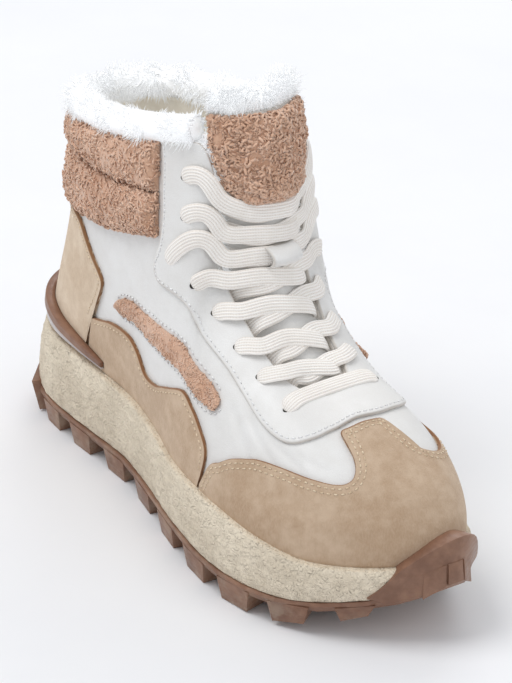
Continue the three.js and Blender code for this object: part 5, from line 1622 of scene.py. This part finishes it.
@dataclass
class Plush:
    """White plush round the collar, on the tongue and inside the throat."""

    finishes: Finishes
    radius: float = 6.4

    def roll(self, name: str, path: Array, radius: float, count: int, length: tuple[float, float],
             seed: int, nodes: Sequence[str], out: Array | None = None) -> None:
        """Builds a soft roll along a path with strands all round it.

        Args:
            name: The piece's name.
            path: Close points of the roll's middle.
            radius: Its radius.
            count: How many strands.
            length: Shortest and longest strand.
            seed: Chooses the pattern.
            nodes: CAD nodes that it stands for.
            out: Direction away from the shoe at each point of the path.
        """
        way = unit(np.gradient(path, axis=0))
        side = unit(np.cross(way, np.array([0.0, 0.0, 1.0])))
        if out is not None:
            side = unit(out - np.sum(out * way, -1, keepdims=True) * way)
        over = np.cross(side, way)
        over = over * np.sign(over[:, 2:3] + 1e-6)
        sides = 14

        def solve(i: Array, j: Array) -> tuple[Array, dict[str, Array]]:
            """Places the roll's skin."""
            angle = 2 * math.pi * (i % sides) / sides
            taper = np.where((j == 0) | (j == len(path) - 1), 0.0, 1.0)[:, None]
            ring = side[j] * np.cos(angle)[:, None] + over[j] * np.sin(angle)[:, None]
            points = path[j] + ring * radius * taper
            return points, {"shade": np.full(len(i), 0.5)}

        body = lattice(name, sides, len(path) - 1, solve)
        rng = np.random.default_rng(seed)
        at = rng.uniform(0.0, len(path) - 1.001, count)
        j, part = at.astype(int), (at % 1.0)[:, None]
        angle = rng.uniform(0.0, 2 * math.pi, count)[:, None]

        def pick(rows: Array) -> Array:
            """Reads rows of the path between two of its points."""
            return rows[j] * (1 - part) + rows[j + 1] * part

        radial = unit(pick(side) * np.cos(angle) + pick(over) * np.sin(angle))
        roots = pick(path) + radial * radius * 0.8
        ways = unit(radial + pick(way) * rng.normal(size=(count, 1)) * 0.25)
        with_tufts(body, strands(name + "_strands", roots, ways, length, 0.46, 0.2, 0.7, seed + 1))
        publish(body, self.finishes.plush, nodes)

    def build(self) -> None:
        """Builds the collar's, the tongue's and the throat's plush."""
        around = np.linspace(-COLLAR_START - 0.002, COLLAR_START + 0.002, 150)
        ones = np.ones_like(around)
        path = LAST.point(around, ones, -2.4 * ones)
        path[:, 2] += 5.4
        self.roll("collar_plush", path, self.radius, 9600, (1.8, 3.8), 61, ["collar_fur"],
                  LAST.normal(around, ones))
        across = np.linspace(-0.92, 0.92, 50)
        path = TONGUE.point(np.ones_like(across), across, -TONGUE_FRONT * np.ones_like(across))
        path += np.array([-4.0, 0.0, 3.6])
        front = np.tile(np.array([1.0, 0.0, 0.0]), (len(path), 1))
        self.roll("tongue_plush", path, 5.0, 5200, (1.8, 3.8), 71, ["tongue_fur"], front)
        for name, sign in (("throat_plush_lateral", 1), ("throat_plush_medial", -1)):
            around = sign * np.linspace(0.256, 0.31, 60)
            ones = np.ones_like(around)
            normal = LAST.normal(around, ones)
            beyond = unit(LAST.face(around, ones) - LAST.face(around, ones * 0.98))
            path = LAST.face(around, ones) + beyond * 0.6 - normal * 2.6
            self.roll(name, path, 2.2, 2200, (1.6, 3.4), 81 + sign, [], normal)


@dataclass
class SoleUnit:
    """Midsole, outsole, insole and heel clip."""

    finishes: Finishes

    def build(self) -> None:
        """Builds the sole."""
        self.midsole()
        self.outsole()
        self.insole()
        self.heel_clip()

    def midsole(self) -> None:
        """Builds the foam between the rubber and the upper."""
        section = np.array([
            (0.0, 0.0, 0.0), (0.02, 0.03, 0.35), (0.15, 0.16, 0.85), (0.3, 0.33, 1.0),
            (0.48, 0.5, 1.02), (0.65, 0.68, 1.0), (0.82, 0.83, 0.7), (0.93, 0.93, 0.35),
            (0.985, 0.985, 0.05), (1.0, 1.0, -0.375),
        ])
        insets = np.array([5.0, 3.4, 1.7, -1.0, -2.0, -2.0])
        keys = np.linspace(0.0, 1.0, len(section))
        rows = 44
        outer = np.linspace(0.0, 1.0, rows - 5)
        plan, level, bulge = (np.interp(outer, keys, section[:, n]) for n in range(3))

        def solve(i: Array, j: Array) -> tuple[Array, dict[str, Array]]:
            """Places the foam's skin."""
            around = (i % 360) / 360.0
            row = np.clip(j, 0, rows - 6)
            swell = bulge[row] * MIDSOLE_BULGE
            low = LAST.sole(around) + LAST.outward(LAST.sole, around) * (swell - RAND_LIP)[:, None]
            inner, inward = LAST.feather(around), LAST.outward(LAST.feather, around)
            high = inner + inward * (swell + RIM_THICKNESS)[:, None]
            flat = mix(low, high, plan[row][:, None])
            z = mix(LAST.rubber_top(around) + 0.1, LAST.rim_height(around), level[row])
            extra = j - (rows - 6)
            shelf = inner + inward * insets[np.clip(extra, 0, 5)][:, None]
            flat = np.where((extra > 0)[:, None], shelf, flat)
            drop = LAST.feather_height(around) - 0.4
            z = np.where(extra > 0, np.where(extra >= 4, drop, LAST.rim_height(around)), z)
            points = np.concatenate([flat, z[:, None]], axis=-1)
            middle = np.stack([points[:, 0], np.zeros_like(z), z], axis=-1)
            closing = (extra == 5) | (j == 0)
            tuck = np.where(j == 0, 0.15, 0.0) + np.where(extra == 5, 0.3, 0.0)
            points = np.where(closing[:, None], mix(points, middle, tuck[:, None]), points)
            lumps = 0.22 * ripple(points, 2.6, 91) * ((extra <= 0) & (j > 1))
            points[:, :2] += inward * lumps[:, None]
            return points, {}

        mesh = sealed(lattice("midsole_foam", 360, rows, solve))
        publish(mesh, self.finishes.foam, ["midsole"])

    def outsole(self) -> None:
        """Rounds the edges of the rubber sole's blocks."""
        source = bpy.data.objects["outsole"]
        mesh = source.data.copy()
        mesh.name = "outsole_rubber"
        form = bmesh.new()
        form.from_mesh(mesh)
        bmesh.ops.remove_doubles(form, verts=form.verts, dist=2e-6)
        bmesh.ops.dissolve_limit(form, angle_limit=math.radians(2.0), verts=form.verts, edges=form.edges)
        corner = math.radians(32)
        sharp = [edge for edge in form.edges
                 if edge.is_manifold and edge.calc_face_angle(0.0) > corner]
        bmesh.ops.bevel(form, geom=sharp, offset=0.0006, offset_type="OFFSET", affect="EDGES", segments=2,
                        profile=0.5, material=-1, clamp_overlap=True)
        bmesh.ops.triangulate(form, faces=[face for face in form.faces if len(face.verts) > 4])
        form.to_mesh(mesh)
        form.free()
        publish(mesh, self.finishes.gum, ["outsole"])
        mesh.set_sharp_from_angle(angle=math.radians(38))

    def insole(self) -> None:
        """Builds the fleece insole."""
        def solve(i: Array, j: Array) -> tuple[Array, dict[str, Array]]:
            """Places the insole's skin from its underside up and over."""
            around = (i % 200) / 200.0
            inset = np.array([-2.6, -2.4, -3.0, -4.5, -7.0])[np.clip(j, 0, 4)]
            edge = LAST.feather(around) + LAST.outward(LAST.feather, around) * inset[:, None]
            middle = np.stack([edge[:, 0], LAST.feather(around * 0)[:, 1] + 0 * edge[:, 1]], axis=-1)
            share = np.clip((j - 4) / 10.0, 0.0, 1.0) + np.where(j == 0, 0.4, 0.0)
            flat = mix(edge, middle, share[:, None])
            base = LAST.feather_height(around)
            rise = np.array([0.1, 1.4, 3.4, 4.0, 4.2])[np.clip(j, 0, 4)]
            points = np.concatenate([flat, (base + rise)[:, None]], axis=-1)
            points[:, 2] += np.where(j > 2, 0.35 * np.abs(ripple(points, 3.0, 95)), 0.0)
            return points, {"shade": np.full(len(i), 0.8)}

        mesh = sealed(lattice("insole_fleece", 200, 14, solve))
        publish(mesh, self.finishes.fleece, ["insole"])

    def heel_clip(self) -> None:
        """Builds the moulded band and the face under it."""
        other = CLIP_LINE.behind().rows[:0:-1]
        table = Table("around low middle seam high", np.vstack([other, CLIP_LINE.rows]))
        over = OVERLAY + 0.4
        for name, low, high, thick, slot, finish in (
            ("heel_clip_band", "seam", "high", 4.4, Slot.GUM, self.finishes.gum),
            ("heel_clip_face", "low", "middle", 3.0, Slot.CLIP_FACE, self.finishes.clip),
        ):
            def place(t: Array, k: Array, offset: Array, low: str = low, high: str = high) -> Array:
                """Places the clip on the counter."""
                up = mix(table.share(low, t), table.share(high, t), k)
                return LAST.point(table.share("around", t), up, offset)

            def outer(t: Array, k: Array, thick: float = thick) -> Array:
                """Gives the clip's height, thinner towards its tips."""
                return over + thick * np.sqrt(np.minimum(1.0, 0.2 + (1 - np.abs(2 * t - 1)) / 0.5))

            moulding = slab(name + "_moulding", place, Stops(140, 0.006, 0.006), Stops(12, 0.12, 0.12),
                            over, outer)
            publish(moulding, finish, [name])


@dataclass
class Lacing:
    """Tongue, flat laces and the keeper over them."""

    finishes: Finishes
    half_width: float = 3.9
    half_thickness: float = 0.75
    cells: int = 110
    easing: int = 40

    def build(self) -> None:
        """Builds the tongue, each row of lace and the keeper."""
        def tongue(t: Array, k: Array, offset: Array) -> Array:
            """Places the tongue's skin."""
            return TONGUE.point(t, 2 * k - 1, offset)

        publish(slab("tongue_leather", tongue, Stops(90, 0.008, 0.012), Stops(40, 0.03, 0.03),
                     -TONGUE_FRONT, TONGUE_FRONT), self.finishes.leather, ["tongue"])
        for i in range(len(EYELETS.rows)):
            if i == len(EYELETS.rows) - 1:
                self.ribbon("lace_%d_bar" % (i + 1), self.straight(i), ["lace_row_%d" % (i + 1)])
                continue
            self.ribbon("lace_%d_over" % (i + 1), self.crossing(i, 0, 1.2), ["lace_row_%d" % (i + 1)])
            self.ribbon("lace_%d_under" % (i + 1), self.crossing(i, 1, 0.0), [])
        self.keeper()

    @staticmethod
    def eyelet(i: int, medial: int) -> dict[str, float]:
        """Reads a row of the holes' table for one side."""
        row = dict(zip(EYELETS.names, EYELETS.rows[i]))
        if medial:
            for name in ("around", "dive", "land"):
                row[name] = 1 - row[name]
        return row

    @staticmethod
    def on_stay(around: float, up: float, lift: float) -> tuple[Array, Array]:
        """Gives a stop over the eyestay."""
        a, u = np.array(around), np.array(up)
        return LAST.point(a, u, STAY_LIFT + lift), LAST.normal(a, u)

    @staticmethod
    def on_tongue(share: float, across: float, lift: float) -> tuple[Array, Array]:
        """Gives a stop over the tongue."""
        s, a = np.array(share), np.array(across)
        at = TONGUE.point(s, a, TONGUE_FRONT + lift)
        return at, unit(at - TONGUE.point(s, a, 0.0))

    @staticmethod
    def under_edge(around: float) -> tuple[Array, Array]:
        """Gives a stop where a lace goes under the throat's edge."""
        a = np.array(around)
        edge = LAST.face(a, np.array(1.0))
        beyond = unit(edge - LAST.face(a, np.array(0.98)))
        normal = LAST.normal(a, np.array(1.0))
        return edge + beyond * LACE_EDGE_GAP + normal * OVERLAY / 2, normal

    def climb(self, row: dict[str, float],
              steps: Sequence[tuple[float, float]]) -> list[tuple[Array, Array]]:
        """Gives the stops from a hole over the eyestay, from shares of the way and heights."""
        return [
            self.on_stay(mix(row["around"], row["dive"], turn), mix(row["up"], 1.0, turn), rise)
            for turn, rise in steps
        ]

    def crossing(self, i: int, medial: int, lift: float) -> list[tuple[Array, Array]]:
        """Gives the stops of a lace from its own hole across and under the far edge."""
        start, end = self.eyelet(i, medial), self.eyelet(i, 1 - medial)
        side = 1.0 if medial else -1.0
        steps = ((-0.06, 0.4 - STAY_LIFT), (0.1, 0.0), (0.4, 0.5), (0.7, 0.8 + 0.5 * lift))
        return self.climb(start, steps) + [
            self.on_stay(start["dive"], 1.0, lift + LACE_EDGE_LIFT - 0.4),
            self.on_tongue(start["over"] + start["tilt"], LACE_REACH * side, LACE_ARCH + lift),
            self.on_tongue(start["over"], 0.0, LACE_ARCH + lift),
            self.on_tongue(start["over"] - start["tilt"], -LACE_REACH * side, LACE_ARCH + lift),
            self.under_edge(end["land"]),
            self.on_stay(mix(end["land"], end["around"], 0.15), 0.95, -STAY_LIFT - 5.0),
        ]

    def straight(self, i: int) -> list[tuple[Array, Array]]:
        """Gives the stops of the lowest bar."""
        steps = ((-0.06, 0.4 - STAY_LIFT), (0.12, -0.2), (0.6, -0.6))
        return self.climb(self.eyelet(i, 0), steps) + self.climb(self.eyelet(i, 1), steps)[::-1]

    def ribbon(self, name: str, stops: list[tuple[Array, Array]], nodes: Sequence[str]) -> None:
        """Builds one flat lace through its stops.

        Args:
            name: The piece's name.
            stops: Points and the directions that the lace's face looks in.
            nodes: CAD nodes that it stands for.
        """
        points = np.array([stop[0] for stop in stops])
        normals = np.array([stop[1] for stop in stops])
        knots = np.concatenate([[0.0], np.cumsum(np.linalg.norm(np.diff(points, axis=0), axis=1))])
        t = np.linspace(0.0, knots[-1], self.cells + 1)
        centre = np.stack([hermite(knots, points[:, n], t) for n in range(3)], axis=-1)
        face = unit(np.stack([hermite(knots, normals[:, n], t) for n in range(3)], axis=-1))
        for _ in range(self.easing):
            centre[1:-1] = mix(centre[1:-1], (centre[:-2] + centre[2:]) / 2, 0.5)
            face[1:-1] = mix(face[1:-1], (face[:-2] + face[2:]) / 2, 0.5)
        way = unit(np.gradient(centre, axis=0))
        across = unit(np.cross(face, way))
        out = np.cross(way, across)
        run = np.concatenate([[0.0], np.cumsum(np.linalg.norm(np.diff(centre, axis=0), axis=1))])
        near_hole = np.sin(math.pi / 2 * np.clip(run / 5.0, 0.0, 1.0))
        if not name.endswith("over") and not name.endswith("under"):
            near_hole = np.minimum(near_hole, near_hole[::-1])
        sides = 28

        def solve(i: Array, j: Array) -> tuple[Array, dict[str, Array]]:
            """Places the lace's skin."""
            angle = 2 * math.pi * (i % sides) / sides
            wide = np.sign(np.cos(angle)) * np.abs(np.cos(angle)) ** 0.45
            thick = np.sign(np.sin(angle)) * np.abs(np.sin(angle)) ** 0.6
            pinch = 0.3 + 0.7 * near_hole[j]
            closed = np.where((j == 0) | (j == self.cells), 0.0, 1.0)
            cup = 0.5 * (wide**2) * pinch
            deep = thick * self.half_thickness + 0.35 * (1 - pinch) * thick - cup
            points = (
                centre[j] + across[j] * (wide * self.half_width * pinch * closed)[:, None]
                + out[j] * (deep * closed)[:, None]
            )
            return points, {"across": (wide + 1) / 2, "run": run[j]}

        publish(lattice(name, sides, self.cells, solve), self.finishes.lace, nodes)

    def keeper(self) -> None:
        """Builds the leather loop over the third row."""
        half = KEEPER_WIDTH / TONGUE_WIDTH / TONGUE_LINE.share("width", np.array(KEEPER_FROM))

        def place(t: Array, k: Array, offset: Array) -> Array:
            """Places the loop on the tongue."""
            share = mix(KEEPER_FROM, KEEPER_TO, t)
            lift = KEEPER_RISE * np.sin(math.pi * t) ** 0.4
            middle = TONGUE.point(share, 0 * k, 0.0)
            forward = TONGUE.point(share, 0 * k, 1.0) - middle
            foot = TONGUE.point(share, (2 * k - 1) * half, TONGUE_FRONT)
            return foot + forward * (lift + offset)[..., None]

        publish(slab("keeper_leather", place, Stops(60, 0.01, 0.01), Stops(16, 0.06, 0.06), -0.6, 1.0),
                self.finishes.leather, ["lace_keeper"])


@dataclass
class Studio:
    """Floor, lights and camera."""

    finishes: Finishes
    position: tuple[float, float, float] = (1.0578, -0.69876, 0.68485)
    azimuth: float = 36.28
    elevation: float = 27.02
    roll: float = -1.68
    focal: float = 3050.0
    picture_height: float = 683.0

    def build(self) -> None:
        """Sets up the scene round the shoe."""
        self.floor()
        self.camera()
        self.lights()

    def floor(self) -> None:
        """Lays the floor."""
        mesh = bpy.data.meshes.new("backdrop_floor")
        form = bmesh.new()
        bmesh.ops.create_grid(form, x_segments=8, y_segments=8, size=4.0)
        bmesh.ops.translate(form, verts=form.verts, vec=(0.0, 0.0, -0.0002))
        form.to_mesh(mesh)
        form.free()
        mesh.materials.append(self.finishes.floor)
        floor = bpy.data.objects.new("backdrop_floor", mesh)
        bpy.context.scene.collection.objects.link(floor)

    def camera(self) -> None:
        """Places the camera at the photograph's viewing angle."""
        az, el, roll = (math.radians(a) for a in (self.azimuth, self.elevation, self.roll))
        back = Vector((math.cos(az) * math.cos(el), -math.sin(az) * math.cos(el), math.sin(el)))
        forward = -back
        right = forward.cross(Vector((0, 0, 1))).normalized()
        down = forward.cross(right)
        turned = right * math.cos(roll) + down * math.sin(roll)
        below = down * math.cos(roll) - right * math.sin(roll)
        data = bpy.data.cameras.new("camera")
        data.sensor_width = 36.0
        data.lens = self.focal * data.sensor_width / self.picture_height
        data.clip_start = 0.05
        camera = bpy.data.objects.new("camera", data)
        axes = Matrix((turned, -below, back)).transposed().to_4x4()
        camera.matrix_world = Matrix.Translation(self.position) @ axes
        bpy.context.scene.collection.objects.link(camera)
        bpy.context.scene.camera = camera

    def lights(self) -> None:
        """Sets the soft lights and the pale surroundings."""
        world = bpy.data.worlds.new("surroundings")
        bpy.context.scene.world = world
        world.use_nodes = True
        background = world.node_tree.nodes["Background"]
        background.inputs["Color"].default_value = (0.93, 0.96, 1.0, 1.0)
        background.inputs["Strength"].default_value = 0.62
        bpy.context.scene.view_settings.view_transform = "Standard"
        for name, place, size, power in (
            ("key", (-0.2, -0.7, 1.6), 0.9, 13.0),
            ("fill", (1.6, 0.3, 0.9), 1.4, 3.5),
            ("back", (-0.7, 1.0, 1.2), 0.9, 6.0),
        ):
            data = bpy.data.lights.new(name, "AREA")
            data.size = size
            data.energy = power
            light = bpy.data.objects.new(name, data)
            light.location = place
            way = Vector((0.09, 0.0, 0.07)) - Vector(place)
            light.rotation_euler = way.to_track_quat("-Z", "Y").to_euler()
            bpy.context.scene.collection.objects.link(light)


def main() -> None:
    """Builds the whole shoe round its frame."""
    logging.basicConfig(level=logging.INFO, format="%(message)s")
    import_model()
    finishes = Finishes()
    for part in (Upper, Seams, Fleece, Plush, SoleUnit, Lacing, Studio):
        part(finishes).build()
        LOG.info("%s done", part.__name__)


if __name__ == "__main__":
    main()
